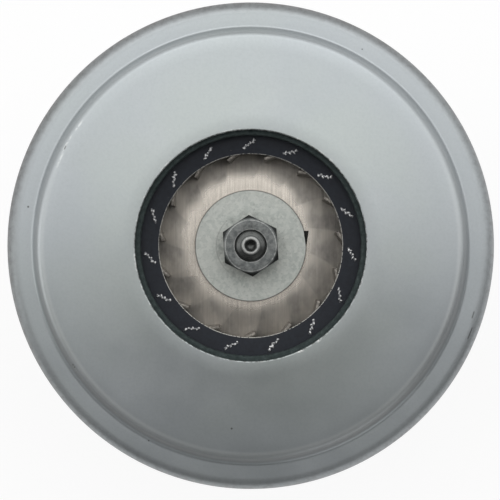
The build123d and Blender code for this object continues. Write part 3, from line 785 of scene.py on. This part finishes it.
def oiledSteel():
    n = nut
    finish = Finish("nutSteel", Metallic=0.9)
    level, radius = finish.z / mm, finish.radius()
    rings = finish.noise(0.09, finish.vector(X=radius * mm, Y=finish.angle() * 0.0008))
    grime = finish.noise(1.1, detail=6.0, roughness=0.65)
    tone = finish.mix(finish.between(grime, 0.35, 0.65), n["darkTone"], n["lightTone"])
    # painted highlights at the chamfer's edge and the hole's, and painted shade down the sides
    worn = finish.either(finish.band(radius, 6.78, 0.03, 0.14), finish.band(radius, 4.42, 0.03, 0.12, 0.8))
    worn = worn * finish.between(level, 104.6, 104.85)
    tone = finish.mix(worn * finish.between(grime, 0.35, 0.6, 0.2, 0.9), tone, n["highlightTone"])
    specks = finish.between(finish.noise(0.25, detail=4.0), 0.64, 0.70, 0.0, 0.5)
    tone = finish.mix(specks, tone, n["speckTone"])
    tone = finish.mix(finish.below(level, 104.6, 104.84, 0.85), tone, n["sideShadeTone"])
    return finish.set(
        Base_Color=tone, Roughness=finish.spread(grime, 0.32, 0.5),
        Normal=finish.bump(rings, 0.01, finish.bump(grime, 0.01)),
    )


def groundSteel():
    s = shaft
    finish = Finish("shaftSteel", Metallic=0.95)
    level, radius = finish.z / mm, finish.radius()
    grime = finish.noise(0.6, detail=6.0, roughness=0.7)
    turning = finish.noise(0.10, finish.vector(X=radius * mm, Z=finish.z))
    tone = finish.mix(finish.between(grime, 0.35, 0.7), s["darkTone"], s["lightTone"])
    # painted shade in the threads, on the cone and in the centre hole, and a painted highlight on the land
    # round it
    nearEnd = finish.between(level, 105.0, 105.6)
    cone = finish.between(radius, 2.38, 2.5, 0.0, 0.72) * nearEnd
    dark = finish.either(cone, finish.band(radius, 2.62, 0.10, 0.30, 0.9) * nearEnd)
    threads = finish.between(radius, 3.45, 3.7, 0.0, 0.93) * nearEnd
    tone = finish.mix(finish.either(dark, threads), tone, s["grimeAndShadeTone"])
    hole = finish.below(radius, 1.45, 1.7, 0.9) * finish.between(level, 100.0, 101.0)
    tone = finish.mix(hole, tone, s["holeShadeTone"])
    land = finish.band(radius, 2.0, 0.16, 0.32, 0.75) * finish.between(level, 106.75, 106.95)
    tone = finish.mix(land * finish.between(grime, 0.3, 0.6, 0.5, 1.0), tone, s["landHighlightTone"])
    roughness = finish.spread(grime, 0.26, 0.4)
    return finish.set(Base_Color=tone, Roughness=roughness, Normal=finish.bump(turning, 0.006))


def addWasher():
    w = washer
    edge = w["rounding"]
    shape = ring(w["bore"], w["radius"], w["bottom"], w["top"], w["steps"], (0.0, edge, edge, 0.0))
    # a tapering notch in the edge, widest at its upper end
    wedge = box(
        (w["radius"] - w["notchWidth"], w["notchLow"], 90.0),
        (w["radius"] + 2.0, w["notchLow"] + w["notchHeight"], 100.0),
    )
    edgeLine, halfWay = w["radius"] * mm, w["notchHeight"] / 2 * mm
    lowest = [vert for vert in wedge.verts if vert.co.x < edgeLine and vert.co.y < halfWay]
    bmesh.ops.translate(wedge, verts=lowest, vec=(w["notchWidth"] * mm, 0, 0))
    shape = cutWith("DIFFERENCE", shape, wedge)
    addPiece("impellerWasher", shape, washerSteel(), "rotor", ["impeller_washer"])


def addNut():
    n = nut
    corner = n["flats"] / math.sqrt(3) + 0.6
    rise = (corner - n["chamferRadius"]) * math.tan(math.radians(n["chamfer"]))
    blank = turned([
        (n["hole"], n["bottom"], 0.0), (n["chamferRadius"], n["bottom"], 0.0),
        (corner, n["bottom"] + rise, 0.0), (corner, n["top"] - rise, 0.0),
        (n["chamferRadius"], n["top"], 0.0), (n["countersink"], n["top"], 0.0),
        (n["hole"], n["top"] - n["countersinkDepth"], 0.0),
    ], n["steps"])
    shape = cutWith("INTERSECT", hexagonBar(n["flats"], n["bottom"], n["top"], n["turn"]), blank)
    softenEdges(shape, n["edge"], steeper=20.0)
    addPiece("impellerNut", shape, oiledSteel(), "rotor", ["impeller_nut"], sharp=25.0)


def addShaft():
    s = shaft
    top, centre = s["top"], s["centreRadius"]
    outline = [
        (0.0, s["bottom"], 0.0), (s["journal"], s["bottom"], 0.4), (s["journal"], s["bodyStart"], 0.0),
        (s["body"], s["bodyStart"], 0.2), (s["body"], s["bodyEnd"], 0.2), (s["journal"], s["bodyEnd"], 0.0),
    ]
    level = s["threadBottom"]
    while level + s["pitch"] < s["threadEnd"]:
        outline += [
            (s["journal"], level, 0.0), (s["journal"] - s["threadDepth"], level + s["pitch"] * 0.45, 0.0),
            (s["journal"], level + s["pitch"] * 0.9, 0.0),
        ]
        level += s["pitch"]
    outline += [
        (s["journal"] - 0.15, s["threadEnd"], 0.1), (s["chamferRadius"], top - s["landHeight"] - 0.35, 0.1),
        (s["landRadius"], top - s["landHeight"] - 0.3, 0.05), (s["landRadius"], top, 0.12),
        (centre + 0.15, top, 0.1), (centre - 0.55, top - 0.7, 0.0), (centre - 0.6, top - 1.5, 0.0),
        (0.0, top - s["centreDepth"], 0.0),
    ]
    shape = turned(outline, s["steps"])
    addPiece("rotorShaft", shape, groundSteel(), "rotor", ["rotor_shaft"], sharp=25.0)


addWasher()
addNut()
addShaft()
print("washer, nut and shaft done")


# Motor housing and bracket, in the steel that the screws, bearings and springs have in other tones

def zincSteel(name, tone, roughness, relief=0.006, speckle=0.3):
    finish = Finish(name, Metallic=0.95)
    lines = finish.noise(0.35, finish.placed((1.0, 1.0, 0.06)), detail=4.0, roughness=0.6)
    clouds = finish.noise(7.0, detail=4.0)
    flecks = finish.between(finish.noise(0.5, detail=4.0), 0.62, 0.72, 0.0, speckle)
    colour = finish.mix(finish.spread(clouds), shaded(tone, 0.85), tone)
    colour = finish.mix(flecks, colour, shaded(tone, 0.5))
    rough = finish.spread(clouds, roughness, roughness + 0.12)
    return finish.set(Base_Color=colour, Roughness=rough, Normal=finish.bump(lines, relief))


housingFinish = zincSteel("housingSteel", (0.62, 0.63, 0.64), 0.30)
bracketFinish = zincSteel("bracketSteel", (0.58, 0.585, 0.59), 0.34)
addPiece(
    "motorHousing", dressed("motor_housing", 0.28), housingFinish, "casing",
    ["motor_housing"],
)
addPiece(
    "fanEndBracket", dressed("fan_end_bracket", 0.3), bracketFinish, "casing",
    ["fan_end_bracket"],
)
print("housing and bracket done")


# Screws

housingScrew = {
    "circle": 48.0, "count": 4, "first": 45.0, "flats": 7.0, "seat": 81.3, "head": 3.0, "shank": 2.0,
    "tip": 84.0, "flange": 4.2, "flangeHeight": 0.7, "edge": 0.08, "steps": 48,
}
holderScrew = {
    "level": 35.8, "face": 46.6, "head": 2.7, "headHeight": 1.8, "shank": 1.5, "tip": 40.3,
    "recess": 2.9, "recessWidth": 0.6, "recessDepth": 1.1, "edge": 0.05, "steps": 40,
}


def hexagonScrew():
    s = housingScrew
    seat, low = s["seat"], s["seat"] - s["head"]
    corner = s["flats"] / math.sqrt(3) + 0.4
    face = s["flats"] / 2 - 0.15
    blank = turned([
        (0.0, low, 0.0), (face, low, 0.0), (corner, low + (corner - face) * 0.6, 0.0), (corner, seat, 0.0),
        (0.0, seat, 0.0),
    ], s["steps"])
    head = cutWith("INTERSECT", hexagonBar(s["flats"], low, seat), blank)
    softenEdges(head, s["edge"], steeper=20.0)
    flange = turned([
        (0.0, seat - s["flangeHeight"], 0.0), (s["flange"], seat - s["flangeHeight"] * 0.7, 0.12),
        (s["flange"], seat, 0.1), (s["shank"], seat, 0.0), (s["shank"], s["tip"], 0.3), (0.0, s["tip"], 0.0),
    ], s["steps"])
    return moved(joined(head, flange), Matrix.Translation((s["circle"] * mm, 0, 0)))


def crossScrew():
    # modelled upright, then laid along X
    s = holderScrew
    top = s["face"] + s["headHeight"]
    blank = turned([
        (0.0, s["tip"], 0.0), (s["shank"], s["tip"], 0.2), (s["shank"], s["face"], 0.0),
        (s["head"], s["face"], 0.15), (s["head"], top, 1.0), (0.0, top, 0.0),
    ], s["steps"])
    half, side = s["recess"] / 2, s["recessWidth"] / 2
    for long, short in ((half, side), (side, half)):
        slot = box((-long, -short, top - s["recessDepth"]), (long, short, top + 1.0))
        blank = cutWith("DIFFERENCE", blank, slot)
    softenEdges(blank, s["edge"])
    return moved(blank, Matrix.Translation((0, 0, s["level"] * mm)) @ turnedBy(90.0, "Y"))


screwFinish = zincSteel("screwSteel", (0.60, 0.59, 0.53), 0.28)
addPiece(
    "housingScrews", moved(repeated(hexagonScrew(), housingScrew["count"]), turnedBy(housingScrew["first"])),
    screwFinish, "casing", ["housing_screws"], sharp=30.0,
)
addPiece(
    "brushHolderScrews", repeated(crossScrew(), 2), screwFinish, "casing",
    ["brush_holder_screws"], sharp=30.0,
)
print("screws done")


# Bearings, the wave washer under the rear one, and the spacer under the impeller

bearing = {
    "bottoms": (2.0, 82.5), "width": 7.0, "outer": 11.0, "shoulder": 9.35, "shield": 6.2, "race": 5.9,
    "bore": 4.02, "recess": 0.45, "innerRoundings": (0.25, 0.2, 0.2, 0.25), "steps": 120,
}
waveSpring = {"inner": 7.5, "outer": 10.6, "bottom": 1.4, "top": 1.8, "waves": 3, "height": 0.16, "steps": 96}
spacer = {
    "inner": 4.02, "outer": 5.9, "bottom": 89.5, "top": 95.0, "roundings": (0.0, 0.3, 0.2, 0.0), "steps": 96,
}


def outerRing(bottom):
    b = bearing
    top, recess, lip = bottom + b["width"], b["recess"], b["shoulder"] - 0.2
    return turned([
        (b["outer"], bottom, 0.4), (b["outer"], top, 0.4), (b["shoulder"], top, 0.12),
        (lip, top - recess, 0.08), (b["shield"], top - recess, 0.1), (b["shield"], bottom + recess, 0.1),
        (lip, bottom + recess, 0.08), (b["shoulder"], bottom, 0.12),
    ], b["steps"])


def innerRing(bottom):
    b = bearing
    return ring(b["bore"], b["race"], bottom, bottom + b["width"], b["steps"], b["innerRoundings"])


def waveWasher():
    w = waveSpring
    shape = ring(w["inner"], w["outer"], w["bottom"], w["top"], w["steps"])
    for vert in shape.verts:
        vert.co.z += w["height"] * mm * math.cos(w["waves"] * math.atan2(vert.co.y, vert.co.x))
    return shape


def impellerSpacer():
    s = spacer
    return ring(s["inner"], s["outer"], s["bottom"], s["top"], s["steps"], s["roundings"])


bearingFinish = zincSteel("bearingSteel", (0.66, 0.66, 0.66), 0.18)
addPiece(
    "bearingOuterRings", joined(*map(outerRing, bearing["bottoms"])), bearingFinish, "casing",
    ["bearing_outer_rings"], sharp=30.0,
)
addPiece(
    "bearingInnerRings", joined(*map(innerRing, bearing["bottoms"])), bearingFinish, "rotor",
    ["bearing_inner_rings"], sharp=30.0,
)
addPiece(
    "bearingPreloadSpring", waveWasher(), zincSteel("springSteel", (0.40, 0.40, 0.42), 0.3), "casing",
    ["bearing_preload_spring"], sharp=30.0,
)
addPiece(
    "impellerSpacer", impellerSpacer(), zincSteel("spacerSteel", (0.5, 0.5, 0.5), 0.3), "rotor",
    ["impeller_spacer"],
)
print("bearings done")


# Field

coil = {
    "meanRadius": 28.25, "thickness": 8.5, "endHeight": 6.9, "halfAngle": 56.5, "low": 38.0, "high": 74.0,
    "corner": 4.9, "cornerSteps": 7, "wire": 0.95, "wireSides": 6, "straightStep": 2.6, "wander": 0.09,
    "darkTone": (0.42, 0.115, 0.04), "lightTone": (0.60, 0.21, 0.075),
}
lamination = {"halfSheet": 0.25, "gapTone": (0.012, 0.012, 0.014)}


def laminated(name, tone):
    finish = Finish(name, Metallic=0.55)
    half = lamination["halfSheet"] * mm
    sheets = finish.maths("PINGPONG", finish.z, half) / half
    uneven = finish.noise(1.2, finish.placed((0.25, 0.25, 3.0)), 4.0)
    colour = finish.mix(finish.between(finish.noise(6.0), 0.35, 0.7), tone, shaded(tone, 1.5))
    colour = finish.mix(finish.below(sheets, 0.0, 0.3, 0.75), colour, lamination["gapTone"])
    return finish.set(
        Base_Color=colour, Roughness=finish.spread(uneven, 0.34, 0.55),
        Normal=finish.bump(sheets, 0.05, finish.bump(uneven, 0.02)),
    )


def enamelledCopper():
    finish = Finish("copperWinding", Metallic=0.55, Coat_Weight=0.5, Coat_Roughness=0.12)
    varnish = finish.noise(0.8, detail=4.0)
    colour = finish.mix(finish.spread(finish.noise(2.4)), coil["darkTone"], coil["lightTone"])
    roughness = finish.spread(varnish, 0.22, 0.4)
    return finish.set(Base_Color=colour, Roughness=roughness, Normal=finish.bump(varnish, 0.02))


def bundleStart():
    # the cut ends of a coil's outer wires, as circles on the plane that the winding starts from
    c = coil
    shape = bmesh.new()
    across, deep = (c["endHeight"] - c["wire"]) / 2, (c["thickness"] - c["wire"]) / 2
    acrossCount, deepCount = round(2 * across / c["wire"]), round(2 * deep / c["wire"])
    places = []
    for number in range(acrossCount + 1):
        step = -across + 2 * across * number / acrossCount
        places += [(-deep, step), (deep, step)]
    for number in range(1, deepCount):
        step = -deep + 2 * deep * number / deepCount
        places += [(step, -across), (step, across)]
    for deepPlace, acrossPlace in places:
        made = bmesh.ops.create_circle(shape, segments=c["wireSides"], radius=c["wire"] * 0.54 * mm)
        bmesh.ops.rotate(shape, verts=made["verts"], cent=(0, 0, 0), matrix=turnedBy(90.0, "Y"))
        place = (0, deepPlace * mm, (c["low"] + acrossPlace) * mm)
        bmesh.ops.translate(shape, verts=made["verts"], vec=place)
    return shape


def woundCoil(middle):
    # drawn flat as a racetrack, X along the end turn and Z along the shaft, then bent round the armature
    c = coil
    shape = bundleStart()
    ends = shape.verts[:] + shape.edges[:]
    half = math.radians(c["halfAngle"]) * c["meanRadius"] - c["corner"]
    rise = c["high"] - c["low"] - 2 * c["corner"]

    def picked(parts, kind):
        return [part for part in parts if isinstance(part, kind)]

    def straight(ends, direction, length):
        count = math.ceil(length / c["straightStep"])
        for number in range(count):
            made = bmesh.ops.extrude_edge_only(shape, edges=picked(ends, bmesh.types.BMEdge))
            ends = picked(made["geom"], (bmesh.types.BMVert, bmesh.types.BMEdge))
            bmesh.ops.translate(
                shape, verts=picked(ends, bmesh.types.BMVert), vec=Vector(direction) * length / count * mm,
            )
        return ends

    def corner(ends, x, z):
        made = bmesh.ops.spin(
            shape, geom=ends, cent=(x * mm, 0, z * mm), axis=(0, 1, 0), angle=-math.pi / 2,
            steps=c["cornerSteps"],
        )
        return made["geom_last"]

    lowTurn, highTurn = c["low"] + c["corner"], c["high"] - c["corner"]
    ends = corner(straight(ends, (1, 0, 0), half), half, lowTurn)
    ends = corner(straight(ends, (0, 0, 1), rise), half, highTurn)
    ends = corner(straight(ends, (-1, 0, 0), 2 * half), -half, highTurn)
    ends = corner(straight(ends, (0, 0, -1), rise), -half, lowTurn)
    straight(ends, (1, 0, 0), half)
    wander = c["wander"] * mm
    for vert in shape.verts:
        flat = vert.co.copy()
        along, away = flat.x + wander * noise.noise(flat * 260), flat.y + wander * noise.noise(flat * 330)
        turn = math.radians(middle) + along / (c["meanRadius"] * mm)
        radius = c["meanRadius"] * mm + away
        level = flat.z + wander * noise.noise(flat * 410)
        vert.co = (radius * math.cos(turn), radius * math.sin(turn), level)
    bmesh.ops.remove_doubles(shape, verts=shape.verts, dist=0.02 * mm)
    bmesh.ops.recalc_face_normals(shape, faces=shape.faces)
    return shape


paint("field_core", laminated("fieldLaminations", (0.085, 0.088, 0.095)))
copperFinish = enamelledCopper()
for ending, middle in (("Back", 90.0), ("Front", 270.0)):
    addPiece(
        f"fieldCoil{ending}", woundCoil(middle), copperFinish, "casing",
        [f"field_coil_{ending.lower()}"], sharp=80.0,
    )
print("field done")


# Armature

armature = {
    "slots": 12, "slotWidth": 3.1, "slotInner": 13.15, "slotOuter": 18.85, "slotEdge": 0.5,
    "coreBottom": 42.0, "coreTop": 70.0, "overhang": 9.2, "hub": 8.2, "outer": 18.2, "inset": 1.6,
    "roundings": (1.0, 1.2, 3.0, 2.5), "steps": 72, "span": 5, "strands": 5, "strandStart": 14.2,
    "wire": 0.85, "seed": 21,
}
commutator = {
    "radius": 11.97, "bars": 24, "barWidth": 2.78, "barInner": 8.4, "bottom": 14.0, "top": 30.0,
    "hubInner": 5.02, "hubOuter": 11.35, "hookReach": 13.1, "hookWidth": 1.5, "hookBottom": 28.35,
    "hookTop": 29.5, "leadWire": 0.6, "leadTop": 33.6, "brushLevel": 22.0,
    "hubRoundings": (0.3, 0.5, 0.5, 0.3), "steps": 96,
}


def overhangWires(face, side):
    a = armature
    draw = random.Random(a["seed"] + side)
    pitch = 360.0 / a["slots"]
    sweep = pitch * a["span"]
    runs = []
    for slot in range(a["slots"]):
        for strand in range(a["strands"]):
            start = pitch * slot + draw.uniform(-2.5, 2.5)
            out = a["strandStart"] + strand * a["wire"]
            deep = side * (a["overhang"] * (0.42 + 0.11 * strand) + draw.uniform(-0.5, 0.4))
            runs.append([
                atAngle(out, start, face - side * 0.4),
                atAngle(out + 0.6, start + 5.0, face + deep * 0.45),
                atAngle(out + 0.2, start + sweep * 0.18, face + deep * 0.85),
                atAngle(out - 2.2, start + sweep * 0.38, face + deep),
                atAngle(out - 2.6 + draw.uniform(-0.3, 0.3), start + sweep * 0.55, face + deep),
                atAngle(out - 1.4, start + sweep * 0.75, face + deep * 0.95),
                atAngle(out + 0.6, start + sweep - 6.0, face + deep * 0.5),
                atAngle(out, start + sweep, face - side * 0.4),
            ])
    return wires("overhang", runs, a["wire"])


def leadWires():
    c = commutator
    hook, top = c["hookTop"], c["leadTop"]
    runs = []
    for number in range(c["bars"]):
        angle = 360.0 / c["bars"] * (number + 0.5)
        runs.append([
            atAngle(12.75, angle, c["hookBottom"] + 0.5), atAngle(13.3, angle + 3.0, hook + 0.9),
            atAngle(13.4, angle + 9.0, hook + 2.6), atAngle(14.2, angle + 16.0, top),
            atAngle(14.6, angle + 22.0, top + 1.6),
        ])
    return wires("leads", runs, c["leadWire"])


def armatureWinding():
    a = armature
    parts = []
    for face, side in ((a["coreTop"], 1), (a["coreBottom"], -1)):
        low, high = sorted((face + side * 0.2, face + side * a["overhang"] * 0.86))
        parts.append(ring(a["hub"], a["outer"] - a["inset"], low, high, a["steps"], a["roundings"]))
        parts.append(overhangWires(face, side))
    half = a["slotWidth"] / 2
    bar = box((a["slotInner"], -half, a["coreBottom"]), (a["slotOuter"], half, a["coreTop"]))
    parts.append(repeated(softenEdges(bar, a["slotEdge"]), a["slots"]))
    return joined(*parts, leadWires())


def commutatorBars():
    c = commutator
    half, hook = c["barWidth"] / 2, c["hookWidth"] / 2
    bar = box((c["barInner"], -half, c["bottom"] + 0.6), (c["radius"], half, c["top"] - 0.2))
    hook = box((c["radius"] - 0.3, -hook, c["hookBottom"]), (c["hookReach"], hook, c["hookTop"]))
    bars = repeated(joined(softenEdges(bar, 0.15), softenEdges(hook, 0.3)), c["bars"])
    return moved(bars, turnedBy(180.0 / c["bars"]))


def commutatorHub():
    c = commutator
    return ring(c["hubInner"], c["hubOuter"], c["bottom"], c["top"], c["steps"], c["hubRoundings"])


def commutatorCopper():
    # bright copper with the brown film that the brushes leave
    finish = Finish("commutatorCopper", Metallic=0.95)
    turning = finish.noise(0.25, finish.vector(Z=finish.z), 4.0)
    film = finish.noise(1.6, detail=4.0)
    track = finish.band(finish.z / mm, commutator["brushLevel"], 5.2, 5.9)
    track = track * finish.between(film, 0.2, 0.7, 0.55, 0.95)
    return finish.set(
        Base_Color=finish.mix(track, (0.72, 0.34, 0.18), (0.24, 0.115, 0.065)),
        Roughness=finish.spread(film, 0.22, 0.34), Normal=finish.bump(turning, 0.01),
    )


def mouldedPlastic(name, tone, roughness=0.5):
    finish = Finish(name, Specular_IOR_Level=0.45)
    grain = finish.noise(0.35)
    colour = finish.mix(finish.spread(finish.noise(6.0)), tone, shaded(tone, 0.8))
    rough = finish.spread(grain, roughness - 0.06, roughness + 0.08)
    return finish.set(Base_Color=colour, Roughness=rough, Normal=finish.bump(grain, 0.015))


addPiece(
    "armatureWinding", armatureWinding(), copperFinish, "rotor", ["armature_winding"],
    sharp=60.0,
)
paint("armature_core", laminated("armatureLaminations", (0.10, 0.10, 0.105)))
addPiece(
    "commutatorBars", commutatorBars(), commutatorCopper(), "rotor", ["commutator"],
    sharp=30.0,
)
addPiece(
    "commutatorHub", commutatorHub(), mouldedPlastic("hubResin", (0.05, 0.028, 0.018)), "rotor",
)
print("armature done")


# Brush gear

brushGear = {
    "level": 22.0, "tubeEnd": 50.0, "capThickness": 0.8, "capWidth": 8.0, "capHeight": 12.6, "tabWidth": 6.3,
    "tabBottom": 3.7, "tabHole": 0.9, "tabHoleRise": 4.3, "tabCorner": 1.3, "springStart": 37.25,
    "springEnd": 49.9, "springGap": 0.25, "springRadius": 2.55, "springWire": 0.5, "springTurns": 9,
    "springStepsPerTurn": 12, "springKeep": 0.5, "holderEdge": 0.45, "tubeEdge": 0.12, "brushEdge": 0.18,
    "capEdge": 0.12,
}


def terminal():
    g = brushGear
    near, far = g["tubeEnd"], g["tubeEnd"] + g["capThickness"]
    halfWidth, halfHeight, tabHalf = g["capWidth"] / 2, g["capHeight"] / 2, g["tabWidth"] / 2
    cap = box((near, -halfWidth, g["level"] - halfHeight), (far, halfWidth, g["level"] + halfHeight))
    tab = box((near, -tabHalf, g["tabBottom"]), (far, tabHalf, g["level"]))
    middles = {edge: (edge.verts[0].co + edge.verts[1].co) / 2 for edge in tab.edges}
    low = [
        edge for edge, middle in middles.items()
        if middle.z < (g["tabBottom"] + 0.1) * mm and abs(middle.x - (near + far) / 2 * mm) < fine
    ]
    bmesh.ops.bevel(
        tab, geom=low, offset=g["tabCorner"] * mm, segments=1, profile=0.5, affect="EDGES", material=-1,
    )
    hole = bmesh.new()
    bore = g["tabHole"] * mm
    bmesh.ops.create_cone(hole, cap_ends=True, segments=32, radius1=bore, radius2=bore, depth=6 * mm)
    place = Vector((near, 0, g["tabBottom"] + g["tabHoleRise"])) * mm
    moved(hole, Matrix.Translation(place) @ turnedBy(90.0, "Y"))
    return softenEdges(cutWith("UNION", cap, cutWith("DIFFERENCE", tab, hole)), g["capEdge"], steeper=60.0)


def coilSpring():
    g = brushGear
    count = g["springTurns"] * g["springStepsPerTurn"]
    start, length = g["springStart"] + g["springGap"], g["springEnd"] - g["springStart"] - 2 * g["springGap"]
    radius = g["springRadius"]
    run = []
    for step in range(count + 1):
        share = step / count
        turn = math.tau * g["springTurns"] * share
        run.append(Vector((
            start + length * share, radius * math.cos(turn), g["level"] + radius * math.sin(turn),
        )))
    return wires("spring", [run], g["springWire"], smoothness=2)


holderFinish = mouldedPlastic("holderPlastic", (0.30, 0.235, 0.15), 0.45)
brassFinish = zincSteel("brassSheet", (0.74, 0.55, 0.24), 0.26, relief=0.0015, speckle=0.12)
carbonFinish = mouldedPlastic("brushCarbon", (0.03, 0.03, 0.032), 0.55)
springFinish = zincSteel("brushSpringSteel", (0.42, 0.42, 0.44), 0.25)
for side, turn in (("right", 0.0), ("left", 180.0)):
    ending, brushBody = side.capitalize(), f"brush_{side}"
    for name, node, edge, finish, body, slot in (
        ("brushHolder", "brush_holder", brushGear["holderEdge"], holderFinish, "casing", "holder_plastic"),
        ("brushTube", "brush_tube", brushGear["tubeEdge"], brassFinish, "casing", "brass_sheet"),
        ("carbonBrush", "carbon_brush", brushGear["brushEdge"], carbonFinish, brushBody, "brush_carbon"),
    ):
        shape = dressed(f"{node}_{side}", edge)
        addPiece(f"{name}{ending}", shape, finish, body, [f"{node}_{side}"], sharp=35.0)
    addPiece(
        f"terminal{ending}", moved(terminal(), turnedBy(turn)), brassFinish, "casing",
        [f"terminal_{side}"], sharp=35.0,
    )
    spring = addPiece(
        f"brushSpring{ending}", moved(coilSpring(), turnedBy(turn)), springFinish, "casing",
        [f"brush_spring_{side}"], sharp=60.0,
    )
    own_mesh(spring)
addPiece(
    "diffuser", dressed("diffuser", 0.18), mouldedPlastic("diffuserPlastic", (0.035, 0.035, 0.04)), "casing",
    ["diffuser"], sharp=35.0,
)
print("brush gear and diffuser done")


# Floor, light and camera

stage = {
    "floorSize": 3.0, "floorTone": (0.9, 0.9, 0.9), "shadowShare": 0.18, "glow": 1.06,
    "skyDark": 0.14, "skyBright": 1.02, "skyEdge": (-0.2, 0.13), "skyLow": 0.6, "skyHigh": (0.45, 0.85),
    "skySides": 1.38, "sideEdge": (0.05, 0.35), "horizon": 0.42, "horizonEdge": (0.05, 0.35),
    "cameraHeight": 483.4, "pixel": 0.2668, "plane": 103.4, "sensor": 36.0, "imageSide": 500,
    "centreX": 250.7, "centreY": 245.7, "target": (0.0, 0.0, 0.09),
    "softboxes": {  # width and depth, place, and power
        "keySoftbox": ((1.0, 0.6), (0.0, 0.75, 0.95), 1.4),
        "sideSoftbox": ((0.5, 0.5), (-0.9, -0.1, 0.5), 0.7),
        "frontSoftbox": ((0.7, 0.5), (0.5, -0.95, 0.35), 0.5),
    },
}


def whiteFloor():
    # white to the eye and in reflections, with the object's shadow on it, and unseen from below
    material = bpy.data.materials.new("paleFloor")
    material.use_nodes = True
    material.node_tree.nodes.clear()
    nodes = Nodes(material.node_tree)
    seen = nodes.onlySeen("Is Camera Ray", "Is Glossy Ray", "Is Transmission Ray")
    plain = nodes.node("ShaderNodeBsdfDiffuse", {}, {"Color": stage["floorTone"]})
    glow = nodes.node("ShaderNodeEmission", {}, {"Strength": stage["glow"]})
    share = seen * (1.0 - stage["shadowShare"])
    front = nodes.node("ShaderNodeMixShader", {}, {0: share, 1: plain, 2: glow})
    clear = nodes.node("ShaderNodeBsdfTransparent", {}, {})
    back = nodes.node("ShaderNodeNewGeometry", {}, {}, "Backfacing")
    both = nodes.node("ShaderNodeMixShader", {}, {0: back, 1: front, 2: clear})
    nodes.node("ShaderNodeOutputMaterial", {}, {"Surface": both})
    return material


def addFloor():
    shape = bmesh.new()
    bmesh.ops.create_grid(shape, x_segments=1, y_segments=1, size=stage["floorSize"])
    floor = asObject("floor", shape)
    floor.data.materials.append(whiteFloor())


def addSoftbox(name, size, place, power):
    light = bpy.data.lights.new(name, "AREA")
    light.shape = "RECTANGLE"
    light.size, light.size_y = size
    light.energy = power
    lamp = bpy.data.objects.new(name, light)
    lamp.location = place
    lamp.rotation_euler = (Vector(stage["target"]) - Vector(place)).to_track_quat("-Z", "Y").to_euler()
    scene.collection.objects.link(lamp)


def addWorld():
    # a soft dome, bright over the far side and dark over the near one, white to the eye
    s = stage
    world = bpy.data.worlds.new("studio")
    scene.world = world
    world.use_nodes = True
    nodes = Nodes(world.node_tree)
    x, y, z = nodes.split(nodes.node("ShaderNodeTexCoord", {}, {}, "Generated"))
    dome = nodes.between(y, *s["skyEdge"], s["skyDark"], s["skyBright"])
    dome = dome * nodes.between(z, *s["skyHigh"], s["skyLow"], 1.0)
    dome = dome * nodes.between(abs(x), *s["sideEdge"], 1.0, s["skySides"])
    low = nodes.below(abs(z), *s["horizonEdge"])
    light = dome * (1.0 - low) + low * s["horizon"]
    white = nodes.onlySeen("Is Camera Ray")
    sky = world.node_tree.nodes["Background"].inputs
    nodes.feed(sky["Color"], (1.0, 1.0, 1.0))
    nodes.feed(sky["Strength"], light * (1.0 - white) + white)


def addCamera():
    # straight down the shaft, placed so that the cover fills the picture as it does in the photo
    s = stage
    data = bpy.data.cameras.new("camera")
    data.sensor_width = s["sensor"]
    data.lens = s["sensor"] * (s["cameraHeight"] - s["plane"]) / (s["pixel"] * s["imageSide"])
    camera = bpy.data.objects.new("camera", data)
    half, step = s["imageSide"] / 2, s["pixel"] * mm
    camera.location = ((half - s["centreX"]) * step, (s["centreY"] - half) * step, s["cameraHeight"] * mm)
    scene.collection.objects.link(camera)
    scene.camera = camera


addFloor()
addWorld()
for name, (size, place, power) in stage["softboxes"].items():
    addSoftbox(name, size, place, power)
addCamera()
scene.view_settings.view_transform = "Standard"
print("stage done")
